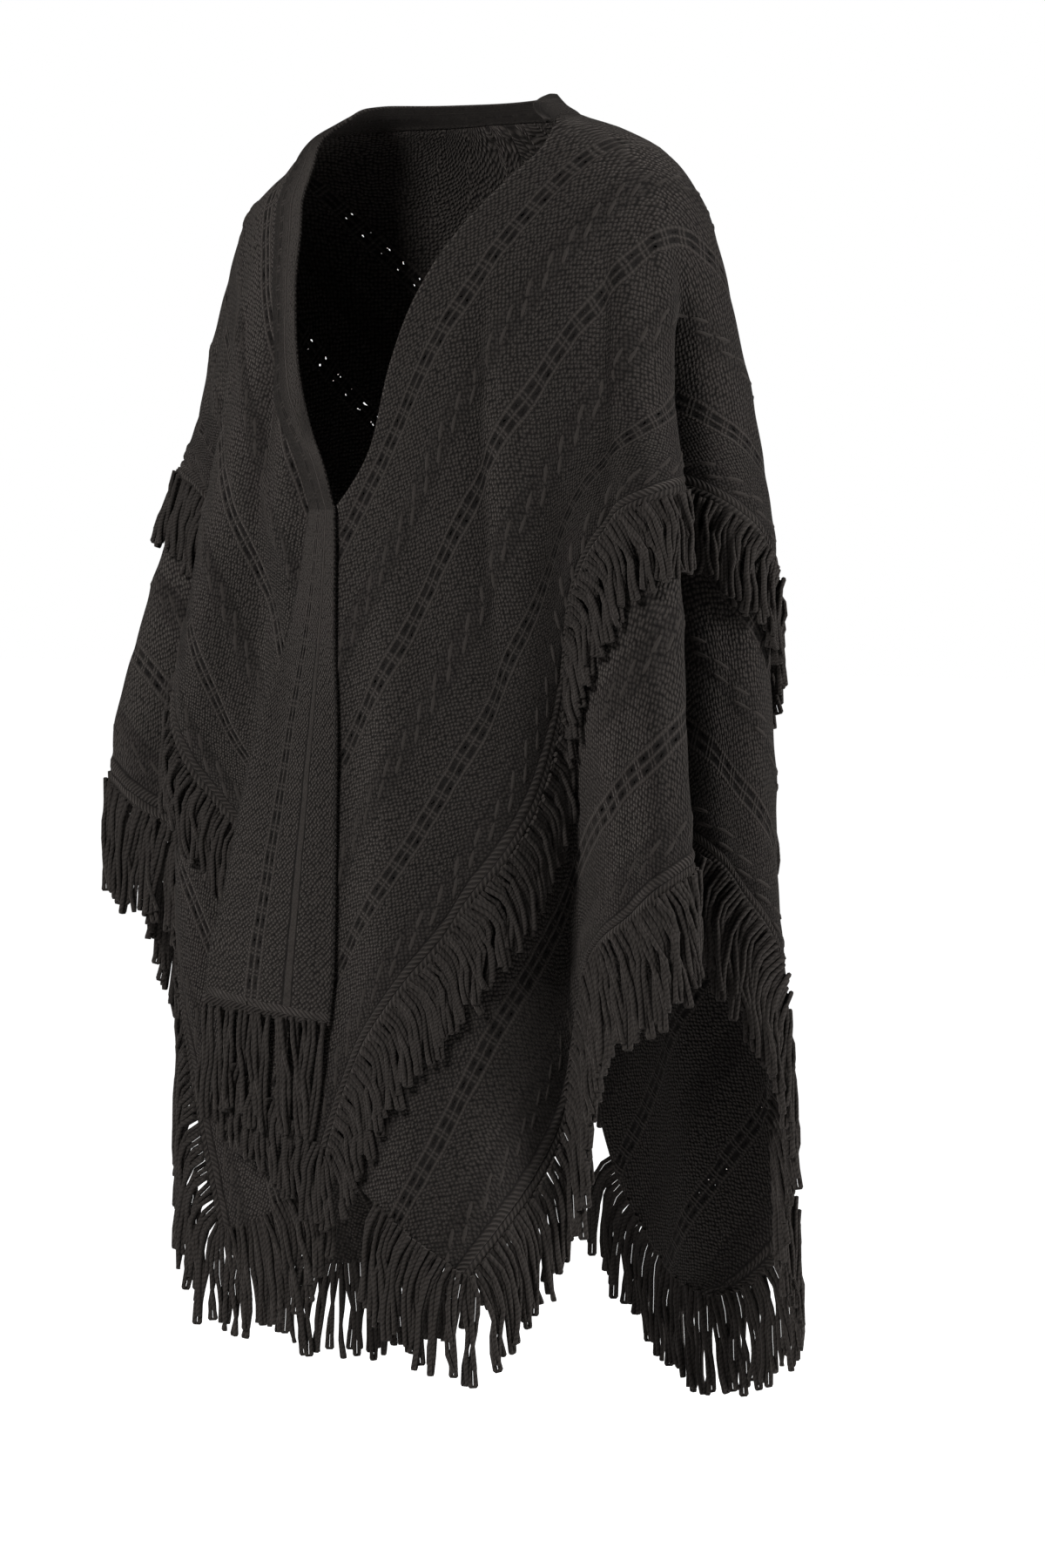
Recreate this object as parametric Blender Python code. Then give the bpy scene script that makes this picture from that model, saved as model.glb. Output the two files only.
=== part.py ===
"""Open-front poncho of heavy knitted wool, as it hangs while it is worn.

Two tiers of knitted strip lie on each side, front to back over the arm, and a scarf collar runs
round the neck and hangs down the front. Metres, +Z up. The origin is where the neck and shoulders
carry the poncho. The wearer faces -Y, and the wearer's left is +X. An angle is measured round the
wearer from the centre front towards the left, and a drop is measured down from the origin.
"""

import bpy
import numpy as np

# Driving sizes.
CLOTH = 0.003
SEAM = 0.0003
TIER_STEP = 0.0078
SCARF_LIFT = 0.0142
BRAID_RISE = 0.0022
CABLE_RISE = 0.0018
BACK_SEAM_ANGLE = 179.94

UPPER_FRINGE_LENGTH = 0.060
FRINGE_LENGTH = 0.088
FRINGE_PITCH = 0.0275
LOCK_WIDTH = 0.0145
LOCK_THICKNESS = 0.0044
LOCK_LIFT = 0.0022
LOCK_MOST_LEAN = np.radians(62)
STEEP_SPREAD = 0.36
LOCK_ROOM = 0.72
LOCK_APART = 0.016
PUSH_PASSES = 30
PUSH_SHARE = 0.3
RIBBON_HEIGHT = 0.0075
RIBBON_GAP = 0.0008
CORNER_MARGIN = 1.6
# Weights that even out the ways in which the ribbon and the locks leave the edge.
RIBBON_KERNEL = (1, 2, 1)
LOCK_KERNEL = (1, 2, 3, 4, 3, 2, 1)

# Where the front ends of the right side pass under those of the left side.
TUCK_DEPTH = -0.0165
TUCK_FROM_ANGLE = -35.0
TUCK_TO_ANGLE = -23.0
TUCK_FROM_DROP = 0.300
TUCK_TO_DROP = 0.400


def table(names, rows):
    """Columns of a short table, each as an array under its name."""
    return dict(zip(names.split(), np.array(rows, float).T))


# Level sections through the draped cloth: half widths and half depths.
SECTIONS = table("drop left right front back", [
    (-0.030, 0.076, 0.076, 0.040, 0.050),
    (-0.010, 0.092, 0.090, 0.045, 0.058),
    (0.000, 0.112, 0.108, 0.052, 0.068),
    (0.012, 0.150, 0.132, 0.062, 0.080),
    (0.034, 0.193, 0.156, 0.076, 0.094),
    (0.070, 0.219, 0.192, 0.100, 0.110),
    (0.135, 0.241, 0.211, 0.128, 0.130),
    (0.230, 0.256, 0.234, 0.146, 0.148),
    (0.358, 0.271, 0.279, 0.155, 0.160),
    (0.508, 0.281, 0.324, 0.162, 0.172),
    (0.700, 0.297, 0.338, 0.172, 0.185),
    (1.080, 0.323, 0.352, 0.186, 0.205),
])

# Hanging folds: a ridge has a positive depth and a trough a negative one.
FOLDS = table("angle angle_1m_down half_width depth from_drop full_drop", [
    (84, 81, 17.0, -0.032, 0.05, 0.26),
    (64, 61, 9.0, 0.020, 0.08, 0.35),
    (104, 102, 12.0, 0.009, 0.10, 0.35),
    (48, 35, 10.5, -0.050, 0.18, 0.75),
    (19, 17, 11.0, 0.010, 0.35, 0.80),
    (-48, -50, 9.5, -0.042, 0.08, 0.40),
    (-30, -30, 8.0, 0.009, 0.10, 0.40),
    (-36, -40, 16.0, -0.022, 0.52, 0.78),
    (-80, -80, 14.0, 0.012, 0.20, 0.50),
    (-112, -116, 12.0, -0.018, 0.25, 0.80),
    (120, 116, 10.0, -0.020, 0.25, 0.80),
    (136, 134, 10.0, 0.014, 0.20, 0.80),
    (155, 156, 9.0, -0.018, 0.15, 0.80),
    (-136, -138, 10.0, 0.012, 0.20, 0.80),
    (-158, -158, 9.0, -0.016, 0.15, 0.80),
])

# The left strips, a row for each crosswise line from the front end to the back end. The upper
# strip lies from the neck to the upper hem, and its cloth starts at this share of the way. The
# lower strip is sewn on under it and ends at the lower hem, on a line that may bow downwards.
STRIP_COLUMNS = "neck_angle neck_drop start upper_angle upper_drop lower_angle lower_drop bow_angle bow_drop"
LEFT = table(STRIP_COLUMNS, [
    (-45, 0.650, 0.55, 2, 0.828, 23.5, 0.920, 0, 0),
    (-29, 0.470, 0.36, 4, 0.792, 28, 0.885, 0, 0),
    (-15, 0.368, 0.18, 8, 0.748, 33, 0.845, 0, 0),
    (-6, 0.328, 0.04, 13.5, 0.705, 38, 0.795, 0, 0),
    (-1, 0.310, 0, 20, 0.660, 42, 0.735, 0, 0),
    (6, 0.262, 0, 27, 0.608, 46, 0.675, 0, 0),
    (9, 0.200, 0, 33, 0.555, 50.5, 0.652, 0, 0),
    (12, 0.156, 0, 38.5, 0.478, 55.5, 0.636, 0, 0),
    (18, 0.108, 0, 44.5, 0.392, 61.5, 0.612, 0, 0),
    (26, 0.070, 0, 51.5, 0.340, 67, 0.600, 0, 0),
    (37, 0.038, 0, 59, 0.314, 72, 0.594, 0, 0),
    (49, 0.018, 0, 66.5, 0.303, 76.5, 0.586, 0, 0),
    (60, 0.007, 0, 73, 0.298, 81, 0.578, 0, 0),
    (70, 0.003, 0, 79, 0.296, 86, 0.584, 0, 0),
    (80, 0.001, 0, 85, 0.296, 92, 0.606, 0, 0),
    (93, 0.000, 0, 92, 0.304, 99, 0.648, 0, 0),
    (108, -0.001, 0, 101, 0.330, 107.5, 0.722, 0, 0),
    (124, -0.002, 0, 112, 0.382, 117, 0.806, 0, 0.005),
    (139, -0.003, 0, 125, 0.468, 127.5, 0.876, 1, 0.015),
    (154, -0.003, 0, 141, 0.588, 138, 0.932, 3, 0.032),
    (167, -0.004, 0, 160, 0.704, 146, 0.962, 6.5, 0.062),
    (BACK_SEAM_ANGLE, -0.004, 0, BACK_SEAM_ANGLE, 0.790, 151, 0.970, 9.5, 0.090),
])
RIGHT = table(STRIP_COLUMNS, [
    (-3, 0.400, 0, -3, 0.715, -24, 0.900, 8, 0.065),
    (-4, 0.345, 0, -8.5, 0.662, -27, 0.850, 5, 0.040),
    (-5.5, 0.312, 0, -15, 0.608, -30, 0.795, 3, 0.020),
    (-9, 0.280, 0, -22, 0.566, -33.5, 0.735, 0, 0.010),
    (-14, 0.246, 0, -28.5, 0.532, -38, 0.675, 0, 0),
    (-18.5, 0.220, 0, -35, 0.480, -42.5, 0.630, 0, 0),
    (-21.5, 0.186, 0, -40.5, 0.410, -47, 0.600, 0, 0),
    (-25, 0.142, 0, -46, 0.348, -52, 0.582, 0, 0),
    (-31, 0.098, 0, -52, 0.314, -58, 0.568, 0, 0),
    (-41, 0.058, 0, -60, 0.294, -66, 0.552, 0, 0),
    (-55, 0.031, 0, -70, 0.284, -76, 0.538, 0, 0),
    (-72, 0.014, 0, -82, 0.280, -87, 0.530, 0, 0),
    (-92, 0.005, 0, -94, 0.288, -97, 0.560, 0, 0),
    (-112, 0.001, 0, -106, 0.330, -106, 0.640, 0, 0),
    (-130, -0.001, 0, -119, 0.412, -114, 0.745, 0, 0.005),
    (-147, -0.002, 0, -133, 0.520, -121, 0.850, -2, 0.015),
    (-162, -0.003, 0, -150, 0.650, -127.5, 0.925, -4.5, 0.035),
    (-173, -0.004, 0, -167, 0.748, -131.5, 0.960, -8, 0.072),
    (-BACK_SEAM_ANGLE, -0.004, 0, -BACK_SEAM_ANGLE, 0.790, -133, 0.975, -10.5, 0.100),
])

# The scarf's hanging end, from its straight end up to the point of the neckline.
SCARF = table("left_angle left_drop right_angle right_drop", [
    (-22.5, 0.714, 1.5, 0.722),
    (-21.5, 0.670, 2.0, 0.676),
    (-19.0, 0.620, 1.8, 0.622),
    (-15.5, 0.550, 1.3, 0.552),
    (-12.0, 0.475, 1.0, 0.478),
    (-8.8, 0.415, 0.8, 0.418),
    (-7.0, 0.368, 0.5, 0.372),
    (-6.2, 0.334, 0.3, 0.340),
])

# The collar's free edge, and how far it stands out, against its seam on each side's neck edge.
RIGHT_COLLAR = table("seam_angle edge_angle edge_drop stand", [
    (-5.5, 0.0, 0.312, 0.0130),
    (-9.0, -3.0, 0.277, 0.0125),
    (-14.0, -7.5, 0.244, 0.0120),
    (-18.5, -10.5, 0.216, 0.0110),
    (-21.5, -13.5, 0.184, 0.0100),
    (-25.0, -17.0, 0.140, 0.0100),
    (-31.0, -22.0, 0.088, 0.0090),
    (-41.0, -31.0, 0.048, 0.0080),
    (-55.0, -46.0, 0.016, 0.0060),
    (-72.0, -66.0, -0.006, 0.0040),
    (-92.0, -91.0, -0.017, 0.0030),
    (-112.0, -113.0, -0.021, 0.0030),
    (-130.0, -132.0, -0.022, 0.0030),
    (-163.0, -165.0, -0.023, 0.0030),
    (-180.0, -180.0, -0.023, 0.0030),
])
LEFT_COLLAR = table("seam_angle edge_angle edge_drop stand", [
    (55.0, 53.0, 0.0095, 0.0070),
    (62.0, 59.0, 0.001, 0.0060),
    (70.0, 68.0, -0.009, 0.0050),
    (80.0, 80.0, -0.016, 0.0040),
    (93.0, 94.0, -0.020, 0.0030),
    (139.0, 141.0, -0.023, 0.0030),
    (180.0, 180.0, -0.023, 0.0030),
])

# A lock's sections under its root: share of its length, how square to the edge, width, thickness.
LOCK_SECTIONS = (
    (0.42, 0.45, 0.0120, 0.0040),
    (0.58, 0.08, 0.0090, 0.0034),
)

COLUMNS = 57
UPPER_ROWS = (0.0, 0.16, 0.32, 0.40, 0.48, 0.62, 0.76, 0.88, 0.955, 0.978, 1.0)
CABLE_ROW = 3
OVERLAP_ROW = 6
LOWER_ROWS = (0.0, 0.10, 0.24, 0.38, 0.46, 0.54, 0.70, 0.85, 0.955, 0.978, 1.0)
LOWER_CABLE_ROW = 4
LOWER_END_ROWS = 7
SCARF_COLUMNS = 13
SCARF_ACROSS = (0.0, 0.12, 0.34, 0.56, 0.78, 1.0)
# The collar stands out most near its seam, and leans back in towards the neck at its free edge.
COLLAR_BULGE = (0.0, 0.45, 0.6, 0.57, 0.45, 0.27)
# The collar follows the right neck edge up to the back seam, then the left one down to its tip.
RIGHT_COLLAR_FROM = -5.4
RIGHT_COLLAR_LOWEST = 0.3125
BACK_COLLAR_TURN = -179.9
LEFT_COLLAR_TO = 55.0
# Between these drops the collar rises to lie over the left side, as the scarf below it does.
COLLAR_OVER_FROM = 0.24
COLLAR_OVER_BY = 0.30

WOOL = (0.0150, 0.0140, 0.0135, 1.0)
WOOL_DARK = (0.0120, 0.0112, 0.0108, 1.0)


def clear_scene():
    for item in list(bpy.data.objects):
        bpy.data.objects.remove(item, do_unlink=True)


def wool_material(name, colour, roughness):
    material = bpy.data.materials.new(name)
    material.use_nodes = True
    shader = material.node_tree.nodes["Principled BSDF"]
    shader.inputs["Base Color"].default_value = colour
    shader.inputs["Roughness"].default_value = roughness
    shader.inputs["Metallic"].default_value = 0.0
    material.diffuse_color = colour
    return material


def ease(value, low, high):
    """0 below low, 1 above high, and smooth between them."""
    share = np.clip((value - low) / (high - low), 0, 1)
    return share * share * (3 - 2 * share)


def curve_through(knots, values, at):
    """Smooth curve through the values that never swings past them."""
    knots = np.asarray(knots, float)
    values = np.asarray(values, float)
    at = np.asarray(at, float)
    step = np.diff(knots)
    slope = np.diff(values) / step
    before, after = slope[:-1], slope[1:]
    same_way = before * after > 0
    both = np.where(same_way, before + after, 1.0)
    inner = np.where(same_way, 2 * before * after / both, 0.0)
    tangent = np.concatenate([slope[:1], inner, slope[-1:]])
    index = np.clip(np.searchsorted(knots, at) - 1, 0, len(step) - 1)
    width = step[index]
    share = np.clip((at - knots[index]) / width, 0, 1)
    square = share * share
    cube = square * share
    return ((2 * cube - 3 * square + 1) * values[index]
            + (cube - 2 * square + share) * width * tangent[index]
            + (3 * square - 2 * cube) * values[index + 1]
            + (cube - square) * width * tangent[index + 1])


def rows_at(columns, share):
    """Every column of a table, read at shares 0 to 1 of the way down its rows."""
    count = len(next(iter(columns.values())))
    knots = np.linspace(0, 1, count)
    return {name: curve_through(knots, values, share) for name, values in columns.items()}


def fold_depth(angle, drop):
    depth = np.zeros(np.broadcast(angle, drop).shape)
    for top, low, half_width, rise, start, full in zip(*FOLDS.values()):
        centre = top + (low - top) * np.clip(drop, 0, 1)
        away = (np.mod(angle - centre + 180, 360) - 180) / half_width
        depth = depth + rise * ease(drop, start, full) * np.exp(-away * away)
    return depth


def drape(angle, drop):
    """Point of the draped form at an angle in degrees and a drop."""
    angle, drop = np.broadcast_arrays(np.asarray(angle, float), np.asarray(drop, float))
    size = {name: curve_through(SECTIONS["drop"], SECTIONS[name], drop)
            for name in ("left", "right", "front", "back")}
    sine = np.sin(np.radians(angle))
    cosine = np.cos(np.radians(angle))
    half_width = np.where(sine > 0, size["left"], size["right"])
    half_depth = np.where(cosine > 0, size["front"], size["back"])
    out_x = sine / half_width
    out_y = -cosine / half_depth
    length = np.hypot(out_x, out_y)
    depth = fold_depth(angle, drop)
    x = half_width * sine + depth * out_x / length
    y = -half_depth * cosine + depth * out_y / length
    return np.stack([x, y, -drop], -1)


def unit(vectors):
    return vectors / np.linalg.norm(vectors, axis=-1, keepdims=True)


def drape_frame(angle, drop):
    """Outward normal there, and metres for each degree and each unit of drop."""
    across = (drape(angle + 0.2, drop) - drape(angle - 0.2, drop)) / 0.4
    down = (drape(angle, drop + 0.002) - drape(angle, drop - 0.002)) / 0.004
    outward = unit(np.cross(down, across))
    return outward, np.linalg.norm(across, axis=-1), np.linalg.norm(down, axis=-1)


def lifted(angle, drop, lift):
    """Draped point moved out from the form by the lift."""
    angle, drop = np.broadcast_arrays(np.asarray(angle, float), np.asarray(drop, float))
    outward, _, _ = drape_frame(angle, drop)
    return drape(angle, drop) + outward * np.broadcast_to(lift, angle.shape)[..., None]


def tuck(angle, drop):
    """The right side's front ends go in under the left side's."""
    near_front = ease(angle, TUCK_FROM_ANGLE, TUCK_TO_ANGLE) * (angle < 90)
    return TUCK_DEPTH * near_front * ease(drop, TUCK_FROM_DROP, TUCK_TO_DROP)


def upper_strip(strips, share, rows):
    """Angles and drops of an upper strip, crosswise lines by rows."""
    line = rows_at(strips, share)
    start = np.clip(line["start"], 0, 1)[:, None]
    across = start + (1 - start) * np.asarray(rows)[None, :]
    angle = line["neck_angle"][:, None] * (1 - across) + line["upper_angle"][:, None] * across
    drop = line["neck_drop"][:, None] * (1 - across) + line["upper_drop"][:, None] * across
    return angle, drop


def lower_strip(strips, share, rows):
    """Angles and drops of a lower strip, from its sewn edge to its hem."""
    line = rows_at(strips, share)
    top_angle, top_drop = upper_strip(strips, share, UPPER_ROWS[OVERLAP_ROW:OVERLAP_ROW + 1])
    across = np.asarray(rows)[None, :]
    bow = 4 * across * (1 - across)
    angle = top_angle * (1 - across) + line["lower_angle"][:, None] * across
    drop = top_drop * (1 - across) + line["lower_drop"][:, None] * across
    return angle + bow * line["bow_angle"][:, None], drop + bow * line["bow_drop"][:, None]


def make_object(name, points, faces, material):
    mesh = bpy.data.meshes.new(name)
    mesh.from_pydata([tuple(point) for point in points], [], faces)
    mesh.materials.append(material)
    mesh.shade_smooth()
    mesh.set_sharp_from_angle(angle=np.radians(40))
    item = bpy.data.objects.new(name, mesh)
    bpy.context.scene.collection.objects.link(item)
    return item


def wall(name, outer, inner, material):
    """Closed wall between two grids of points that have the same rows and columns."""
    count, across = outer.shape[:2]
    total = count * across
    points = np.concatenate([outer.reshape(-1, 3), inner.reshape(-1, 3)])

    def at(column, row):
        return column * across + row

    faces = []
    for column in range(count - 1):
        for row in range(across - 1):
            first, second = at(column, row), at(column + 1, row)
            third, fourth = at(column + 1, row + 1), at(column, row + 1)
            # Both skins are split along the same diagonal, so that they stay the wall's thickness apart.
            for corners in ((first, second, third), (first, third, fourth)):
                faces.append(corners)
                faces.append(tuple(total + corner for corner in reversed(corners)))
    rim = [at(column, 0) for column in range(count)]
    rim += [at(count - 1, row) for row in range(1, across)]
    rim += [at(column, across - 1) for column in range(count - 2, -1, -1)]
    rim += [at(0, row) for row in range(across - 2, 0, -1)]
    for here, there in zip(rim, rim[1:] + rim[:1]):
        faces.append((here, total + here, total + there, there))
    item = make_object(name, points, faces, material)
    turn_outwards(item)
    return item


def turn_outwards(item):
    """Flips every face of a closed mesh that is inside out."""
    mesh = item.data
    mesh.calc_loop_triangles()
    points = np.array([vertex.co for vertex in mesh.vertices])
    corners = np.array([triangle.vertices for triangle in mesh.loop_triangles])
    if np.linalg.det(points[corners] - points.mean(axis=0)).sum() < 0:
        mesh.flip_normals()


def strip_panel(name, angle, drop, lift, cable_row, material):
    """A strip as a wall, with a raised cable line and a raised braid along its hem."""
    outward, _, _ = drape_frame(angle, drop)
    middle = drape(angle, drop) + outward * lift[..., None]
    rise = np.zeros(angle.shape)
    rise[:, cable_row] = CABLE_RISE
    rise[:, -2] = BRAID_RISE
    outer = middle + outward * (CLOTH / 2 + rise)[..., None]
    inner = middle - outward * CLOTH / 2
    return wall(name, outer, inner, material)


def hem_path(angle, drop, lift, front_rows, back_rows):
    """Edges of a strip that carry fringe, one (angle, drop, lift) for each stretch between corners."""
    stretches = [(angle[:, -1], drop[:, -1], lift[:, -1])]
    if front_rows:
        stretches.insert(0, (angle[0, -front_rows:], drop[0, -front_rows:], lift[0, -front_rows:]))
    if back_rows:
        back = slice(-1, -back_rows - 1, -1)
        stretches.append((angle[-1, back], drop[-1, back], lift[-1, back]))
    return stretches


def lock_stops(along, weighted, corners):
    """Places along a ribbon, and the first place of each lock: corners fall between two locks.

    along is the length at each point of the edge, and weighted counts steep stretches for less, so
    that locks which hang down from them have room.
    """
    stops = []
    firsts = []
    for begin, end in zip(corners[:-1], corners[1:]):
        span = weighted[end] - weighted[begin]
        locks = max(1, round(span / FRINGE_PITCH))
        stops.append(along[begin])
        for number in range(locks):
            firsts.append(len(stops))
            middle = np.interp(weighted[begin] + (number + 0.5) * span / locks, weighted, along)
            stops += [middle - LOCK_WIDTH / 2, middle + LOCK_WIDTH / 2]
    return np.array(stops + [along[-1]]), firsts


def past_corners(edge, along, stops, on_edge, square):
    """How far each place must move out for the ribbon's straight runs to clear the edge's corners."""
    extra = np.zeros(len(stops))
    for point, length in zip(edge, along):
        index = min(max(np.searchsorted(stops, length) - 1, 0), len(stops) - 2)
        share = (length - stops[index]) / (stops[index + 1] - stops[index])
        chord = on_edge[index] * (1 - share) + on_edge[index + 1] * share
        out = CORNER_MARGIN * (point - chord) @ (square[index] + square[index + 1]) / 2
        extra[index] = max(extra[index], out)
        extra[index + 1] = max(extra[index + 1], out)
    return extra


def moved(place, way, length):
    """Angles and drops a length away along the draped form; a way is (across, down)."""
    _, per_degree, per_drop = drape_frame(*place)
    return place[0] + way[..., 0] * length / per_degree, place[1] + way[..., 1] * length / per_drop


def smoothed(ways, kernel):
    """Unit ways along an edge, each mixed with its neighbours' by the kernel's weights."""
    half = len(kernel) // 2
    padded = np.pad(ways, ((half, half), (0, 0)), mode="edge")
    mixed = [np.convolve(padded[:, axis], kernel, mode="valid") for axis in range(2)]
    return unit(np.stack(mixed, -1))


def room(centres):
    """Distance from each point to the nearer of its two neighbours."""
    if len(centres) < 2:
        return np.full(len(centres), np.inf)
    gaps = np.linalg.norm(np.diff(centres, axis=0), axis=1)
    return np.minimum(np.append(gaps, np.inf), np.append(np.inf, gaps))


def lock_sections(roots, away, push, length):
    """Place and way of every lock at each section: part of a lock keeps away from the edge, the rest falls."""
    place = roots
    found = []
    for share, keep, _, _ in LOCK_SECTIONS:
        way = unit(away * keep + np.array([0.0, 1.0]) * (1 - keep) + push)
        turn = away[:, 0] * way[:, 1] - away[:, 1] * way[:, 0]
        lean = np.clip(np.arctan2(turn, (away * way).sum(axis=1)), -LOCK_MOST_LEAN, LOCK_MOST_LEAN)
        cosine, sine = np.cos(lean), np.sin(lean)
        way = np.stack([away[:, 0] * cosine - away[:, 1] * sine,
                        away[:, 0] * sine + away[:, 1] * cosine], -1)
        place = moved(place, way, length * share)
        found.append((place, way))
    return found


def pushed_apart(roots, away, side, length):
    """Small turns that keep the tips of neighbouring locks from crossing."""
    push = np.zeros(away.shape)
    _, per_degree, per_drop = drape_frame(*roots)
    for _ in range(PUSH_PASSES if len(away) > 1 else 0):
        (angle, drop), way = lock_sections(roots, away, push, length)[-1]
        step = np.stack([np.diff(angle) * per_degree[1:], np.diff(drop) * per_drop[1:]], -1)
        mean_way = unit(way[1:] + way[:-1])
        across = np.stack([mean_way[:, 1], -mean_way[:, 0]], -1) * side
        short = np.clip(LOCK_APART - (step * across).sum(axis=1), 0, None)
        turn = across * short[:, None] * PUSH_SHARE / length
        push[:-1] -= turn
        push[1:] += turn
    return push


def fringe(name, stretches, side, lift_at, length, material):
    """Ribbon along an edge with flat locks of yarn hanging from it, all one body.

    side is 1 on the left strips and -1 on the right ones, whose edges run the other way round.
    """
    corners = np.concatenate([[0], np.cumsum([len(stretch[0]) - 1 for stretch in stretches])])
    angle, drop, lift = (np.concatenate([stretches[0][part][:1]] + [one[part][1:] for one in stretches])
                         for part in range(3))
    edge = lifted(angle, drop, lift)
    steps = np.linalg.norm(np.diff(edge, axis=0), axis=1)
    steepness = np.diff(edge[:, 2]) / steps
    along = np.concatenate([[0], np.cumsum(steps)])
    weighted = np.concatenate([[0], np.cumsum(steps * (1 - STEEP_SPREAD * steepness ** 2))])
    stops, firsts = lock_stops(along, weighted, corners)
    angle = np.interp(stops, along, angle)
    drop = np.interp(stops, along, drop)
    on_edge = np.stack([np.interp(stops, along, edge[:, axis]) for axis in range(3)], -1)
    outward, degree, unit_drop = drape_frame(angle, drop)
    run = np.gradient(angle, stops) * degree
    fall_run = np.gradient(drop, stops) * unit_drop
    away = smoothed(unit(np.stack([-side * fall_run, side * run], -1)), RIBBON_KERNEL)
    low_angle, low_drop = moved((angle, drop), away, RIBBON_HEIGHT)
    square = unit(lifted(low_angle, low_drop, 0.0) - lifted(angle, drop, 0.0))
    extra = past_corners(edge, along, stops, on_edge, square)
    top = on_edge + square * (RIBBON_GAP + extra)[:, None]
    bottom = top + square * RIBBON_HEIGHT
    half = outward * LOCK_THICKNESS / 2
    points = list(np.stack([top + half, bottom + half, bottom - half, top - half], 1).reshape(-1, 3))
    faces = []

    def at(stop, corner):
        return stop * 4 + corner

    last = len(stops) - 1
    lock_cells = set(firsts)
    for stop in range(last):
        for corner in (0, 2, 3):
            following = (corner + 1) % 4
            faces.append((at(stop, corner), at(stop + 1, corner), at(stop + 1, following), at(stop, following)))
        if stop not in lock_cells:
            faces.append((at(stop, 1), at(stop + 1, 1), at(stop + 1, 2), at(stop, 2)))
    faces.append((at(0, 0), at(0, 1), at(0, 2), at(0, 3)))
    faces.append((at(last, 3), at(last, 2), at(last, 1), at(last, 0)))

    # Each lock starts on the ribbon's lower face and bends down as it leaves it.
    heading = smoothed(away, LOCK_KERNEL)
    firsts = np.array(firsts)
    heading = unit(heading[firsts] + heading[firsts + 1])
    place = ((low_angle[firsts] + low_angle[firsts + 1]) / 2, (low_drop[firsts] + low_drop[firsts + 1]) / 2)
    push = pushed_apart(place, heading, side, length)
    hanging = lock_sections(place, heading, push, length)
    sections = []
    for (place, way), (_, _, width, thickness) in zip(hanging, LOCK_SECTIONS):
        sections.append((place, way, np.minimum(width, LOCK_ROOM * room(drape(*place))), thickness))
    for number, first in enumerate(firsts):
        ring = [at(first, 1), at(first + 1, 1), at(first + 1, 2), at(first, 2)]
        for places, ways, widths, thickness in sections:
            place = (places[0][number], places[1][number])
            way = ways[number]
            across = np.array([way[1], -way[0]]) * side * widths[number] / 2
            ends = [moved(place, across * sign, 1.0) for sign in (-1, 1)]
            new_ring = []
            for end, sign in ((0, 1), (1, 1), (1, -1), (0, -1)):
                height = lift_at(*place) + LOCK_LIFT + sign * thickness / 2
                new_ring.append(len(points))
                points.append(lifted(*ends[end], height))
            for corner in range(4):
                following = (corner + 1) % 4
                faces.append((ring[corner], ring[following], new_ring[following], new_ring[corner]))
            ring = new_ring
        faces.append(tuple(ring))
    item = make_object(name, points, faces, material)
    turn_outwards(item)
    return len(firsts)


def side_panels(side_name, strips, side, is_right, materials):
    """Upper and lower strips of one side with the fringe along their hems."""
    share = np.linspace(0, 1, COLUMNS)
    angle, drop = upper_strip(strips, share, UPPER_ROWS)
    tucked = tuck(angle, drop) if is_right else np.zeros(angle.shape)
    lift = TIER_STEP + tucked
    strip_panel(f"{side_name}_upper_strip", angle, drop, lift, CABLE_ROW, materials["cloth"])
    end_rows = 0 if is_right else len(UPPER_ROWS)

    def upper_lift(at_angle, at_drop):
        return TIER_STEP + (tuck(at_angle, at_drop) if is_right else 0.0)

    locks = fringe(f"{side_name}_upper_fringe", hem_path(angle, drop, lift, end_rows, 0), side,
                   upper_lift, UPPER_FRINGE_LENGTH, materials["fringe"])

    low_angle, low_drop = lower_strip(strips, share, LOWER_ROWS)
    low_tuck = tuck(low_angle, low_drop) if is_right else np.zeros(low_angle.shape)
    low_lift = np.broadcast_to(low_tuck, low_angle.shape).copy()
    low_lift[:, 0] = lift[:, OVERLAP_ROW] - CLOTH - SEAM
    strip_panel(f"{side_name}_lower_strip", low_angle, low_drop, low_lift, LOWER_CABLE_ROW,
                materials["cloth"])
    path = hem_path(low_angle, low_drop, low_lift, LOWER_END_ROWS, LOWER_END_ROWS)
    locks += fringe(f"{side_name}_lower_fringe", path, side,
                    lambda at_angle, at_drop: upper_lift(at_angle, at_drop) - TIER_STEP,
                    FRINGE_LENGTH, materials["fringe"])
    return locks


def collar_line(angle, drop, columns, over):
    """Crosswise line of the collar at a point of a neck edge: both ends of it and its lifts."""
    order = np.argsort(columns["seam_angle"])
    edge_angle, edge_drop, stand = (curve_through(columns["seam_angle"][order], columns[name][order], angle)
                                    for name in ("edge_angle", "edge_drop", "stand"))
    _, per_degree, per_drop = drape_frame(angle, drop)
    way = unit(np.array([(edge_angle - angle) * per_degree, (edge_drop - drop) * per_drop]))
    seam_angle = angle + way[0] * SEAM / per_degree
    seam_drop = drop + way[1] * SEAM / per_drop
    lift = TIER_STEP + np.array(COLLAR_BULGE) * stand
    return seam_angle, seam_drop, edge_angle, edge_drop, lift * (1 - over) + SCARF_LIFT * over


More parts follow.
